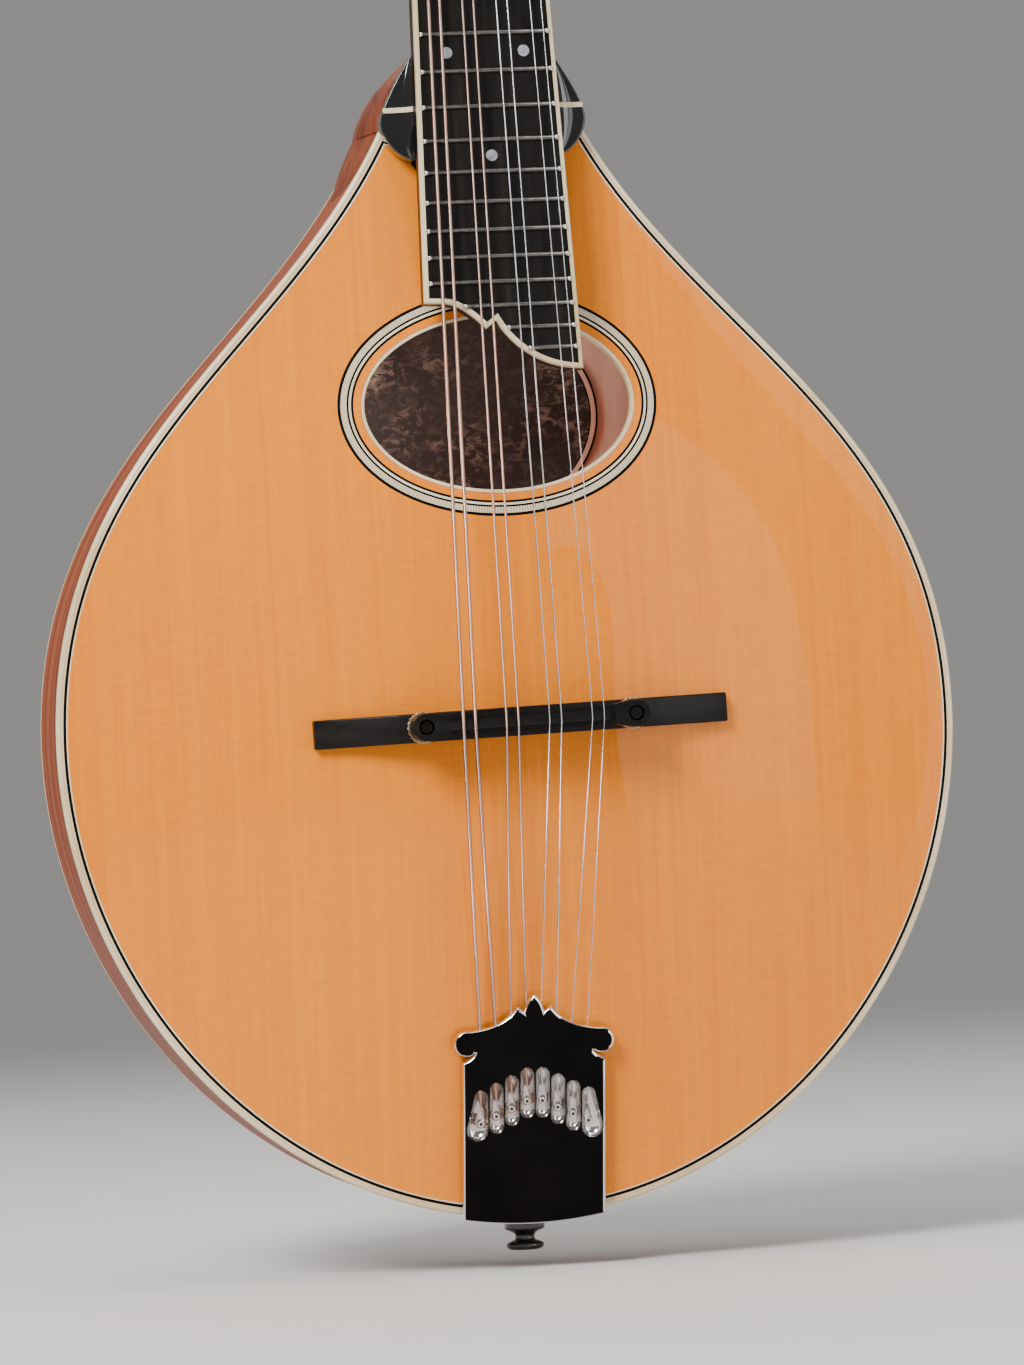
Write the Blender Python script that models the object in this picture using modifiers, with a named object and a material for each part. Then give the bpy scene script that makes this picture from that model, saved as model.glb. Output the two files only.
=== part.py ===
"""A-style mandolin, standing upright with its face towards -Y and its bass side at -X.

Lengths are in metres. The origin is where a hanger's fork takes the headstock, in the middle of
its thickness just above the nut. +Z runs up the neck, and the carved face looks along -Y. On the
body a place is given as (x, along, out): along is the distance up from the string scale's end at
the bridge, and out is the height above the plane through the edge of the face. Pieces of the
neck, headstock, bridge and tailpiece are modelled in their own frames, each an empty.
"""
import math

import bmesh
import bpy
from mathutils import Matrix, Vector

MM = 0.001
GAP = 0.3 * MM            # clearance between pieces that touch
ARCH_SEAT = 0.5 * MM      # clearance where a piece follows an arched plate

# Body outline: half widths from the centre line, and places along it
BODY_HALF = 126.2 * MM
WIDEST_ALONG = -4.9 * MM
TAIL_ALONG = -140.5 * MM
JOINT_HALF = 28.5 * MM
JOINT_ALONG = 161.8 * MM
TAIL_PULL = 67.6 * MM     # handles of the two curves of each side
LOWER_PULL = 72.5 * MM
UPPER_PULL = 82.4 * MM
SHOULDER_PULL = (58.0 * MM, 104.3 * MM)
LOWER_STEPS = 12
UPPER_STEPS = 10

# Body shell
RIM_DEPTH = 42.0 * MM
RIM_THICKNESS = 2.2 * MM
BINDING_WIDTH = 2.0 * MM
BINDING_HEIGHT = 5.0 * MM
PLATE_THICKNESS = 3.4 * MM
TOP_RISE = 15.5 * MM
BACK_RISE = 14.0 * MM
ARCH_PEAK_ALONG = 0.0
ARCH_POWER = 1.3          # above 1 it leaves a flat margin round the edge
PLATE_RINGS = (0.27, 0.5, 0.7, 0.86, 1.0)
LINING_WIDTH = 5.0 * MM
LINING_HEIGHT = 8.0 * MM
LINING_END = 146.0 * MM
HEAD_BLOCK = (22.0 * MM, 30.0 * MM)     # half width, length
TAIL_BLOCK = (25.0 * MM, 17.0 * MM)
BRACE_ALONG = 47.0 * MM
BRACE_HALF = 94.0 * MM
BRACE_WIDTH = 6.0 * MM
BRACE_HEIGHT = 9.0 * MM

# Sound hole and what is round it: half axes of the ellipse, across and along
HOLE_ALONG = 84.8 * MM
HOLE_HALF = (37.4 * MM, 24.1 * MM)
HOLE_BINDING = 1.0 * MM
ROSETTE_OFFSET = 3.9 * MM
ROSETTE_WIDTH = 3.4 * MM
ROSETTE_DEPTH = 1.2 * MM
HOLE_STEPS = 36
LABEL_HALF = (37.5 * MM, 30.4 * MM)
LABEL_ALONG = 83.4 * MM
LABEL_THICKNESS = 0.4 * MM

# Strings, in courses of two, from bass to treble
SCALE = 353.5 * MM
STRING_RADII = tuple(r * MM for r in (0.5, 0.5, 0.33, 0.33, 0.2, 0.2, 0.15, 0.15))
WIRE_RADIUS = 0.2 * MM    # bare core at the loop end
COURSE_AT_SADDLE = 11.9 * MM
PAIR_AT_SADDLE = 3.3 * MM
COURSE_AT_NUT = 7.4 * MM
PAIR_AT_NUT = 2.9 * MM
ACTION_AT_12 = 1.5 * MM
ACTION_AT_NUT = 0.5 * MM

# Neck and fingerboard
NECK_ANGLE = math.radians(5.0)
FRET_OUT_AT_NUT = 0.2 * MM
FRET_COUNT = 22
FRET_HEIGHT = 1.0 * MM
FRET_WIDTH = 1.4 * MM
BOARD_THICKNESS = 6.0 * MM
BOARD_HALF_AT_NUT = 15.2 * MM
BOARD_FLARE = 0.0252      # half width gained for each unit towards the body
BOARD_BINDING = 1.7 * MM
BASS_END_ALONG = 112.3 * MM
TREBLE_END_ALONG = 92.9 * MM
BASS_LIP = (-16.5 * MM, 112.1 * MM)
LOWER_CUSP = (-4.4 * MM, 104.8 * MM)
UPPER_CUSP = (-1.6 * MM, 106.9 * MM)
NECK_DEPTH_AT_NUT = 14.5 * MM
NECK_DEPTH_AT_HEEL = 16.5 * MM
HEEL_TOP_OUT = 0.9 * MM
HEEL_SHAPE = (            # distance above the body joint, half width, depth, squareness
    (0.0, 28.4, 42.4, 9.0), (5.0, 28.2, 42.2, 8.5), (9.0, 26.6, 41.2, 8.0), (13.0, 24.2, 39.0, 7.0),
    (17.0, 21.3, 35.5, 5.5), (21.5, 18.4, 30.0, 4.0), (29.0, 15.8, 20.0, 3.0), (39.0, 14.5, 8.0, 2.6))
TENON_HALF = 9.0 * MM
TENON_LENGTH = 14.0 * MM
TENON_OUTS = (-6.0 * MM, -32.0 * MM)
RISER_END = 120.0 * MM
RISER_HALF = (19.4 * MM, 16.5 * MM)     # at the neck joint, and under the board's end
CAP_OUTS = (1.2 * MM, 6.4 * MM)
CAP_STRIP_ALONG = 166.7 * MM
CAP_ENDS = (153.2 * MM, 181.0 * MM)
CAP_STRIP = (1.4 * MM, 1.0 * MM)        # width, depth
NUT_THICKNESS = 5.0 * MM
NUT_TOP = 2.3 * MM
ROD_RADIUS = 2.3 * MM
ROD_DEPTH = 12.5 * MM     # centre of the rod below the top of the board
ROD_LENGTH = 172.0 * MM
ROD_NUT_RADIUS = 3.6 * MM
ROD_NUT_LENGTH = 8.0 * MM
ROD_NUT_START = 6.5 * MM

# Headstock and tuning machines
HEAD_PITCH = math.radians(14.0)
HEAD_THICKNESS = 14.0 * MM
HEAD_LENGTH = 136.0 * MM
HEAD_HALF_LOW = 31.0 * MM
HEAD_HALF_HIGH = 28.5 * MM
HEAD_WAIST_END = 34.0 * MM
HEAD_CROWN_START = 114.0 * MM
VENEER_THICKNESS = 1.6 * MM
COVER_THICKNESS = 1.6 * MM
POST_X = 17.0 * MM
POST_FIRST = 40.0 * MM
POST_SPACING = 23.0 * MM
POST_RADIUS = 3.0 * MM
POST_STICK_OUT = 9.0 * MM
GEAR_TEETH = 14
GEAR_TIP = 4.4 * MM
GEAR_ROOT = 3.4 * MM
GEAR_THICKNESS = 2.6 * MM
GEAR_LIFT = 1.3 * MM      # from the plate to the gear
WORM_RADIUS = 1.9 * MM
WORM_LENGTH = 9.4 * MM
SHAFT_RADIUS = 1.3 * MM
PLATE_SIZE = (17.0 * MM, 86.0 * MM, 1.5 * MM)
PLATE_X = 19.5 * MM
EAR_THICKNESS = 1.6 * MM
EAR_WIDTH = 6.4 * MM
BUTTON_START = 37.5 * MM
BUTTON_LENGTH = 14.0 * MM
BUTTON_RADIUS = 5.4 * MM
BUTTON_FLATNESS = 0.62
WINDING_TURNS = 1.5
WINDING_STEPS = 10
WINDING_TOP = 5.6 * MM    # first turn above the veneer

# Where a hanger holds the headstock, which is the origin
HANGER_OUT = -16.8 * MM
HANGER_ABOVE_NUT = 10.3 * MM

# Bridge
BRIDGE_X = 0.8 * MM
BRIDGE_ALONG = -3.2 * MM
BRIDGE_SLANT = math.radians(1.2)
BASE_HALF = 57.7 * MM
BASE_WIDTH = 8.0 * MM
BASE_RISE = 5.5 * MM      # above the peak of the arch
BASE_SHOULDER = 35.0 * MM
BASE_TIP = 3.0 * MM
BASE_RELIEF = 1.6 * MM
BRIDGE_POST_X = 29.1 * MM
BRIDGE_POST_RADIUS = 1.75 * MM
BRIDGE_POST_POCKET = 4.8 * MM
WHEEL_RADIUS = 4.5 * MM
WHEEL_THICKNESS = 2.4 * MM
WHEEL_LIFT = 1.5 * MM     # above the base with the saddle at rest
WHEEL_TEETH = 20
SADDLE_WIDTH = 7.7 * MM
SADDLE_WAIST = 5.6 * MM
SADDLE_BODY = 5.8 * MM    # height of the body below the crown
SADDLE_CROWN_HALF = 24.0 * MM
CROWN_WIDTH = 2.6 * MM

# Tailpiece and end pin
PIN_X = 0.6 * MM
PIN_REACH = 10.2 * MM
PIN_HEAD_RADIUS = 5.3 * MM
PIN_COLLAR_RADIUS = 5.7 * MM
PIN_NECK_RADIUS = 2.7 * MM
PIN_SHANK_RADIUS = 3.6 * MM
TAILPIECE_X = -0.6 * MM
TAILPIECE_TILT = math.radians(9.0)
TAILPIECE_TWIST = math.radians(1.2)
TAILPIECE_LIFT = 1.0 * MM         # underside above the face at the tail
TAILPIECE_THICKNESS = 3.0 * MM
TAILPIECE_HALF = 20.0 * MM
TAILPIECE_LENGTH = 62.0 * MM
TAILPIECE_OVERHANG = 1.2 * MM     # beyond the body's tail
FLANGE_THICKNESS = 0.9 * MM
FLANGE_DEPTHS = ((17.5, 5.0), (12.0, 8.0), (8.5, 16.0), (7.0, 27.0), (3.5, 29.5), (0.0, 30.0))
LOBE_CENTRE = (18.9 * MM, 48.7 * MM)
LOBE_RADIUS = 3.6 * MM
PEG_SPACING = 4.3 * MM
PEG_FIRST = 33.4 * MM     # middle pegs, up from the tail
PEG_DROP = 2.0 * MM       # each pair outwards sits this much lower
PEG_RADIUS = 0.8 * MM
SCOOP_ABOVE = 8.9 * MM
SCOOP_BELOW = 5.1 * MM

# Places worked out from the sizes above
NUT_ALONG = SCALE * math.cos(NECK_ANGLE)
FACE_Y = HANGER_OUT
SADDLE_Z = -(NUT_ALONG + HANGER_ABOVE_NUT)
GEAR_Y = HEAD_THICKNESS + GAP + PLATE_SIZE[2] + GEAR_LIFT + GEAR_THICKNESS / 2
WORM_DROP = GEAR_TIP + WORM_RADIUS + GAP
TAIL_RADIUS = 1.5 * TAIL_PULL ** 2 / (WIDEST_ALONG - LOWER_PULL - TAIL_ALONG)

PARTS = None
CUTTERS = None


def clear_scene():
    for item in list(bpy.data.objects):
        bpy.data.objects.remove(item, do_unlink=True)


def new_collection(name):
    collection = bpy.data.collections.new(name)
    bpy.context.scene.collection.children.link(collection)
    return collection


def make_material(name, color, roughness, metallic=0.0):
    material = bpy.data.materials.new(name)
    material.use_nodes = True
    shader = material.node_tree.nodes["Principled BSDF"]
    shader.inputs["Base Color"].default_value = (*color, 1.0)
    shader.inputs["Roughness"].default_value = roughness
    shader.inputs["Metallic"].default_value = metallic
    material.diffuse_color = (*color, 1.0)
    return material


def make_materials():
    return {
        "spruce": make_material("spruce", (0.74, 0.38, 0.11), 0.3),
        "walnut": make_material("walnut", (0.30, 0.13, 0.07), 0.35),
        "lining": make_material("lining", (0.62, 0.47, 0.30), 0.7),
        "binding": make_material("binding", (0.80, 0.72, 0.55), 0.4),
        "ebony": make_material("ebony", (0.02, 0.018, 0.016), 0.35),
        "gloss_black": make_material("gloss_black", (0.012, 0.012, 0.012), 0.08),
        "rosette": make_material("rosette", (0.75, 0.70, 0.58), 0.4),
        "paper": make_material("paper", (0.09, 0.07, 0.06), 0.8),
        "bone": make_material("bone", (0.86, 0.81, 0.68), 0.35),
        "steel": make_material("steel", (0.55, 0.55, 0.56), 0.3, 1.0),
        "nickel": make_material("nickel", (0.66, 0.63, 0.58), 0.18, 1.0),
        "polished": make_material("polished", (0.70, 0.70, 0.71), 0.05, 1.0),
        "button": make_material("button", (0.82, 0.78, 0.68), 0.3),
        "bronze": make_material("bronze", (0.66, 0.36, 0.22), 0.3, 1.0),
        "plain_steel": make_material("plain_steel", (0.74, 0.75, 0.77), 0.2, 1.0),
    }


# Placing and building helpers

def place(x, along, out):
    """World point for a place on the body."""
    return Vector((x, FACE_Y - out, SADDLE_Z + along))


def link(obj, material=None, parent=None, cutter=False):
    (CUTTERS if cutter else PARTS).objects.link(obj)
    if material:
        obj.data.materials.clear()
        obj.data.materials.append(material)
    if parent:
        obj.parent = parent
    if cutter:
        obj.hide_render = True
        obj.display_type = "WIRE"
    return obj


def finish_mesh(name, bm):
    bmesh.ops.remove_doubles(bm, verts=bm.verts, dist=0.00001)
    bmesh.ops.recalc_face_normals(bm, faces=bm.faces)
    mesh = bpy.data.meshes.new(name)
    bm.to_mesh(mesh)
    bm.free()
    mesh.shade_smooth()
    mesh.set_sharp_from_angle(angle=math.radians(32))
    return bpy.data.objects.new(name, mesh)


def new_frame(name, matrix):
    frame = bpy.data.objects.new(name, None)
    frame.empty_display_size = 0.02
    PARTS.objects.link(frame)
    frame.matrix_world = matrix
    return frame


def loft(name, sections, loop=False, tips=None):
    """Skin over equal closed sections; loop joins last to first, tips closes the ends on points."""
    bm = bmesh.new()
    rows = [[bm.verts.new(point) for point in section] for section in sections]
    count = len(rows[0])
    spans = list(zip(rows, rows[1:]))
    if loop:
        spans.append((rows[-1], rows[0]))
    for low, high in spans:
        for i in range(count):
            j = (i + 1) % count
            bm.faces.new((low[i], low[j], high[j], high[i]))
    if tips:
        for row, tip in zip((rows[0], rows[-1]), tips):
            peak = bm.verts.new(tip)
            for i in range(count):
                bm.faces.new((row[i], row[(i + 1) % count], peak))
    elif not loop:
        bm.faces.new(rows[0])
        bm.faces.new(rows[-1])
    return finish_mesh(name, bm)


def flat_solid(name, loops, front, back, keep_curve_plane=False):
    """Solid of flat outlines in (x, z), from y = front to y = back; inner outlines are holes."""
    curve = bpy.data.curves.new(name + "_outline", "CURVE")
    curve.dimensions = "2D"
    curve.fill_mode = "BOTH"
    curve.extrude = (back - front) / 2
    for points in loops:
        spline = curve.splines.new("POLY")
        spline.points.add(len(points) - 1)
        for point, (u, v) in zip(spline.points, points):
            point.co = (u, v, 0.0, 1.0)
        spline.use_cyclic_u = True
    guide = bpy.data.objects.new(name + "_outline", curve)
    bpy.context.scene.collection.objects.link(guide)
    evaluated = guide.evaluated_get(bpy.context.evaluated_depsgraph_get())
    mesh = bpy.data.meshes.new_from_object(evaluated)
    bpy.data.objects.remove(guide, do_unlink=True)
    bm = bmesh.new()
    bm.from_mesh(mesh)
    bpy.data.meshes.remove(mesh)
    if keep_curve_plane:
        offset = Matrix.Translation((0, 0, (front + back) / 2))
        bmesh.ops.transform(bm, matrix=offset, verts=bm.verts)
    else:
        upright = Matrix(((1, 0, 0, 0), (0, 0, 1, (front + back) / 2), (0, 1, 0, 0), (0, 0, 0, 1)))
        bmesh.ops.transform(bm, matrix=upright, verts=bm.verts)
    return finish_mesh(name, bm)


def box(name, low, high):
    bm = bmesh.new()
    bmesh.ops.create_cube(bm, size=1.0)
    low, high = Vector(low), Vector(high)
    for vert in bm.verts:
        vert.co = Vector(low[k] + (high[k] - low[k]) * (vert.co[k] + 0.5) for k in range(3))
    return finish_mesh(name, bm)


def boxes(name, corners):
    """One mesh of several boxes, for a cutter or for joining on."""
    bm = bmesh.new()
    for low, high in corners:
        made = bmesh.ops.create_cube(bm, size=1.0)["verts"]
        for vert in made:
            vert.co = Vector(low[k] + (high[k] - low[k]) * (vert.co[k] + 0.5) for k in range(3))
    return finish_mesh(name, bm)


def rods(name, ends, radius, sides=14, phase=0.0):
    """One mesh of round rods, each between two points."""
    bm = bmesh.new()
    for start, end in ends:
        start, end = Vector(start), Vector(end)
        axis = end - start
        turn = axis.to_track_quat("Z", "Y").to_matrix().to_4x4()
        spin = Matrix.Rotation(phase, 4, "Z")
        matrix = Matrix.Translation((start + end) / 2) @ turn @ spin
        bmesh.ops.create_cone(bm, cap_ends=True, segments=sides, radius1=radius,
                              radius2=radius, depth=axis.length, matrix=matrix)
    return finish_mesh(name, bm)


def turned(name, profile, steps, axis):
    """Turned piece from (along the axis, radius) pairs, about local X or Y."""
    mesh = bpy.data.meshes.new(name)
    mesh.from_pydata([(radius, 0.0, height) for height, radius in reversed(profile)],
                     [(i, i + 1) for i in range(len(profile) - 1)], [])
    guide = bpy.data.objects.new(name + "_profile", mesh)
    bpy.context.scene.collection.objects.link(guide)
    screw = guide.modifiers.new("turn", "SCREW")
    screw.steps = screw.render_steps = steps
    screw.use_merge_vertices = True
    screw.merge_threshold = 0.00002
    evaluated = guide.evaluated_get(bpy.context.evaluated_depsgraph_get())
    solid = bpy.data.meshes.new_from_object(evaluated)
    bpy.data.objects.remove(guide, do_unlink=True)
    bm = bmesh.new()
    bm.from_mesh(solid)
    bpy.data.meshes.remove(solid)
    turn = Matrix.Rotation(math.pi / 2, 4, "Y") if axis == "X" else Matrix.Rotation(-math.pi / 2, 4, "X")
    if axis != "Z":
        bmesh.ops.transform(bm, matrix=turn, verts=bm.verts)
    return finish_mesh(name, bm)


def boolean(target, other, operation="DIFFERENCE"):
    """Cut, join or intersect with another solid of the same frame."""
    link(other, parent=target.parent, cutter=True)
    modifier = target.modifiers.new(other.name, "BOOLEAN")
    modifier.operation = operation
    modifier.object = other
    modifier.solver = "EXACT"


# Outline helpers, on plane points

def bezier(p0, p1, p2, p3, steps):
    """Points along a cubic from p0 up to, but not including, p3."""
    points = []
    for i in range(steps):
        t = i / steps
        a, b, c, d = (1 - t) ** 3, 3 * (1 - t) ** 2 * t, 3 * (1 - t) * t * t, t ** 3
        points.append(tuple(a * p0[k] + b * p1[k] + c * p2[k] + d * p3[k] for k in range(2)))
    return points


def arc(centre, radius, start, end, steps):
    """Points on a circle between two angles in degrees, both ends included."""
    points = []
    for i in range(steps + 1):
        angle = math.radians(start + (end - start) * i / steps)
        points.append((centre[0] + radius * math.cos(angle), centre[1] + radius * math.sin(angle)))
    return points


def ellipse(centre, halves, steps):
    turns = (2 * math.pi * i / steps for i in range(steps))
    return [(centre[0] + halves[0] * math.cos(a), centre[1] + halves[1] * math.sin(a)) for a in turns]


def mirrored(points):
    """A half outline from the top centre to the bottom centre, and back up the other side."""
    return points + [(-x, z) for x, z in reversed(points) if abs(x) > 1e-7]


def inset(points, distance, longest=4.0):
    """Closed outline moved inwards, with each corner's reach limited to a share of the distance."""
    area = sum(a[0] * b[1] - b[0] * a[1] for a, b in zip(points, points[1:] + points[:1]))
    side = 1.0 if area > 0 else -1.0
    moved = []
    for i, point in enumerate(points):
        before = Vector(point) - Vector(points[i - 1])
        after = Vector(points[(i + 1) % len(points)]) - Vector(point)
        n1 = Vector((-before.y, before.x)).normalized() * side
        n2 = Vector((-after.y, after.x)).normalized() * side
        corner = (n1 + n2) / max(1.0 + n1.dot(n2), 0.1)
        if corner.length > longest:
            corner.length = longest
        moved.append(tuple(Vector(point) + corner * distance))
    return moved


def body_outline():
    """The body from the tail up the treble side, across the neck joint and down the bass side."""
    lower = bezier((0.0, TAIL_ALONG), (TAIL_PULL, TAIL_ALONG),
                   (BODY_HALF, WIDEST_ALONG - LOWER_PULL), (BODY_HALF, WIDEST_ALONG), LOWER_STEPS)
    upper = bezier((BODY_HALF, WIDEST_ALONG), (BODY_HALF, WIDEST_ALONG + UPPER_PULL),
                   SHOULDER_PULL, (JOINT_HALF, JOINT_ALONG), UPPER_STEPS)
    right = lower + upper + [(JOINT_HALF, JOINT_ALONG)]
    joint = [(JOINT_HALF * share, JOINT_ALONG) for share in (0.5, 0.0, -0.5)]
    left = [(-x, along) for x, along in reversed(right[1:])]
    return right + joint + left


OUTLINE = body_outline()


def edge_share(x, along):
    """How far out a point lies from the arch's peak: 0 there, 1 on the body outline."""
    da = along - ARCH_PEAK_ALONG
    for (x0, a0), (x1, a1) in zip(OUTLINE, OUTLINE[1:] + OUTLINE[:1]):
        ex, ea, a0 = x1 - x0, a1 - a0, a0 - ARCH_PEAK_ALONG
        det = ex * da - x * ea
        if abs(det) < 1e-12:
            continue
        reach = (ex * a0 - x0 * ea) / det
        place_on_edge = (x * a0 - da * x0) / det
        if reach > 0 and -1e-6 <= place_on_edge <= 1.000001:
            return 1.0 / reach
    return 0.0


def arch(x, along):
    return max(0.0, 1.0 - edge_share(x, along) ** 2) ** ARCH_POWER


def top_out(x, along):
    return TOP_RISE * arch(x, along)


def back_out(x, along):
    return -RIM_DEPTH - BACK_RISE * arch(x, along)


# The fingerboard's line, in (x, along) and in the neck's frame

def fret_plane_out(along):
    return FRET_OUT_AT_NUT + (NUT_ALONG - along) * math.tan(NECK_ANGLE)


def board_under_out(along):
    return fret_plane_out(along) - (FRET_HEIGHT + BOARD_THICKNESS) / math.cos(NECK_ANGLE)


def from_nut(along):
    """Distance down the board from the nut to a place on the body."""
    return (NUT_ALONG - along) / math.cos(NECK_ANGLE)


def board_half(distance):
    return BOARD_HALF_AT_NUT + BOARD_FLARE * distance


def string_spread(course, pair):
    """The eight strings' places across, from bass to treble."""
    return [(course * (i // 2 - 1.5) + pair * (i % 2 - 0.5)) for i in range(8)]


def frame_matrices():
    nut_out = FRET_OUT_AT_NUT - FRET_HEIGHT / math.cos(NECK_ANGLE)
    neck = Matrix.Translation(place(0, NUT_ALONG, nut_out)) @ Matrix.Rotation(-NECK_ANGLE, 4, "X")
    head_start = Matrix.Translation((0, BOARD_THICKNESS + GAP, NUT_THICKNESS + 2 * GAP))
    head = neck @ head_start @ Matrix.Rotation(-HEAD_PITCH, 4, "X")
    bridge_start = Matrix.Translation(place(BRIDGE_X, BRIDGE_ALONG, 0))
    bridge = bridge_start @ Matrix.Rotation(-BRIDGE_SLANT, 4, "Y")
    tail_start = Matrix.Translation(place(TAILPIECE_X, TAIL_ALONG, TAILPIECE_LIFT))
    twist = Matrix.Rotation(TAILPIECE_TWIST, 4, "Y")
    tail = tail_start @ twist @ Matrix.Rotation(TAILPIECE_TILT, 4, "X")
    return {"neck": neck, "head": head, "bridge": bridge, "tail": tail}


# Body

def arched_plate(name, outer, inner):
    """Carved plate between two arched surfaces, inside the binding."""
    edge = inset(OUTLINE, BINDING_WIDTH + GAP)
    rings = [[(x * k, ARCH_PEAK_ALONG + (a - ARCH_PEAK_ALONG) * k) for x, a in edge]
             for k in PLATE_RINGS]
    sections = [[place(x, a, outer(x, a)) for x, a in ring] for ring in rings]
    sections += [[place(x, a, inner(x, a)) for x, a in ring] for ring in reversed(rings)]
    peak = (0.0, ARCH_PEAK_ALONG)
    tips = (place(*peak, outer(*peak)), place(*peak, inner(*peak)))
    return loft(name, sections, tips=tips)


def band(name, outer_inset, inner_inset, outs, end_along=None):
    """Strip that follows the body outline; end_along leaves it open round the neck joint."""
    outer = inset(OUTLINE, outer_inset) if outer_inset else OUTLINE
    inner = inset(OUTLINE, inner_inset)
    count = len(OUTLINE)
    joint = LOWER_STEPS + UPPER_STEPS + 2
    order = [(joint + i) % count for i in range(count)]
    if end_along is not None:
        order = [i for i in order if OUTLINE[i][1] < end_along]
    sections = []
    for i in order:
        (xo, ao), (xi, ai) = outer[i], inner[i]
        sections.append([place(xo, ao, outs[0]), place(xi, ai, outs[0]),
                         place(xi, ai, outs[1]), place(xo, ao, outs[1])])
    return loft(name, sections, loop=end_along is None)


def hole_ring(name, inner_offset, outer_offset, above, below):
    """Ring round the sound hole that follows the arch, from above it to below it."""
    centre = (0.0, HOLE_ALONG)
    inner = ellipse(centre, [h + inner_offset for h in HOLE_HALF], HOLE_STEPS)
    outer = ellipse(centre, [h + outer_offset for h in HOLE_HALF], HOLE_STEPS)
    sections = []
    for (xi, ai), (xo, ao) in zip(inner, outer):
        sections.append([place(xi, ai, top_out(xi, ai) + above), place(xo, ao, top_out(xo, ao) + above),
                         place(xo, ao, top_out(xo, ao) - below), place(xi, ai, top_out(xi, ai) - below)])
    return loft(name, sections, loop=True)


def make_top(materials):
    top = arched_plate("top_plate", top_out, lambda x, a: top_out(x, a) - PLATE_THICKNESS)
    link(top, materials["spruce"])
    opening = [h + HOLE_BINDING + GAP for h in HOLE_HALF]
    points = ellipse((0.0, HOLE_ALONG), opening, HOLE_STEPS)
    hole = loft("hole_cutter", [[place(x, a, 3 * TOP_RISE) for x, a in points],
                                [place(x, a, -TOP_RISE) for x, a in points]])
    boolean(top, hole)
    channel = hole_ring("rosette_channel", ROSETTE_OFFSET - GAP, ROSETTE_OFFSET + ROSETTE_WIDTH + GAP,
                        2 * ROSETTE_DEPTH, ROSETTE_DEPTH + GAP)
    boolean(top, channel)
    hole_binding = hole_ring("soundhole_binding", 0.0, HOLE_BINDING, 0.0, PLATE_THICKNESS)
    link(hole_binding, materials["binding"])
    rosette = hole_ring("rosette", ROSETTE_OFFSET, ROSETTE_OFFSET + ROSETTE_WIDTH, 0.0, ROSETTE_DEPTH)
    link(rosette, materials["rosette"])


def make_back(materials):
    back = arched_plate("back_plate", back_out, lambda x, a: back_out(x, a) + PLATE_THICKNESS)
    link(back, materials["walnut"])
    rings = []
    for share in (0.5, 1.0):
        rings.append(ellipse((0.0, LABEL_ALONG), [h * share for h in LABEL_HALF], 24))
    low = PLATE_THICKNESS + ARCH_SEAT
    high = low + LABEL_THICKNESS
    sections = [[place(x, a, back_out(x, a) + high) for x, a in ring] for ring in rings]
    sections += [[place(x, a, back_out(x, a) + low) for x, a in ring] for ring in reversed(rings)]
    middle = back_out(0.0, LABEL_ALONG)
    tips = (place(0, LABEL_ALONG, middle + high), place(0, LABEL_ALONG, middle + low))
    link(loft("label", sections, tips=tips), materials["paper"])


def tenon_box(name, spare):
    """The neck's tenon, or with some spare all round, its mortise."""
    top, bottom = TENON_OUTS
    low = place(-TENON_HALF - spare, JOINT_ALONG - TENON_LENGTH - spare, top + spare)
    high = place(TENON_HALF + spare, JOINT_ALONG + 2 * MM, bottom - spare)
    return box(name, low, high)


def pin_bore(name):
    ends = [place(PIN_X, TAIL_ALONG - reach, -RIM_DEPTH / 2) for reach in (8 * MM, -24 * MM)]
    return rods(name, [ends], PIN_SHANK_RADIUS + GAP, sides=16)


def make_shell(materials):
    top_edge = -(BINDING_HEIGHT + GAP)
    rim = band("rim", 0.0, RIM_THICKNESS, (top_edge, -RIM_DEPTH - top_edge))
    link(rim, materials["walnut"])
    boolean(rim, tenon_box("rim_mortise", GAP))
    boolean(rim, pin_bore("rim_pin_bore"))
    front = band("top_binding", 0.0, BINDING_WIDTH, (0.0, -BINDING_HEIGHT))
    rear = band("back_binding", 0.0, BINDING_WIDTH, (-RIM_DEPTH + BINDING_HEIGHT, -RIM_DEPTH))
    link(front, materials["binding"])
    link(rear, materials["binding"])
    inner = RIM_THICKNESS + GAP
    high = -(PLATE_THICKNESS + GAP)
    low = high - LINING_HEIGHT
    pairs = (("top_lining", (high, low)), ("back_lining", (-RIM_DEPTH - low, -RIM_DEPTH - high)))
    for name, outs in pairs:
        lining = band(name, inner, inner + LINING_WIDTH, outs, LINING_END)
        link(lining, materials["lining"])


def make_blocks(materials):
    inside = inset(OUTLINE, RIM_THICKNESS + GAP)

    def inside_form(name):
        return loft(name, [[place(x, a, out) for x, a in inside] for out in (0, -RIM_DEPTH)])

    edge = PLATE_THICKNESS + ARCH_SEAT
    half, length = HEAD_BLOCK
    head = box("head_block", place(-half, JOINT_ALONG - length, -edge),
               place(half, JOINT_ALONG, -RIM_DEPTH + edge))
    link(head, materials["lining"])
    boolean(head, inside_form("head_block_form"), "INTERSECT")
    boolean(head, tenon_box("head_block_mortise", GAP))
    half, length = TAIL_BLOCK
    clear = PLATE_THICKNESS + LINING_HEIGHT + 2 * GAP
    tail = box("tail_block", place(-half, TAIL_ALONG, -clear),
               place(half, TAIL_ALONG + length, -RIM_DEPTH + clear))
    link(tail, materials["lining"])
    boolean(tail, inside_form("tail_block_form"), "INTERSECT")
    boolean(tail, pin_bore("tail_block_bore"))


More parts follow.
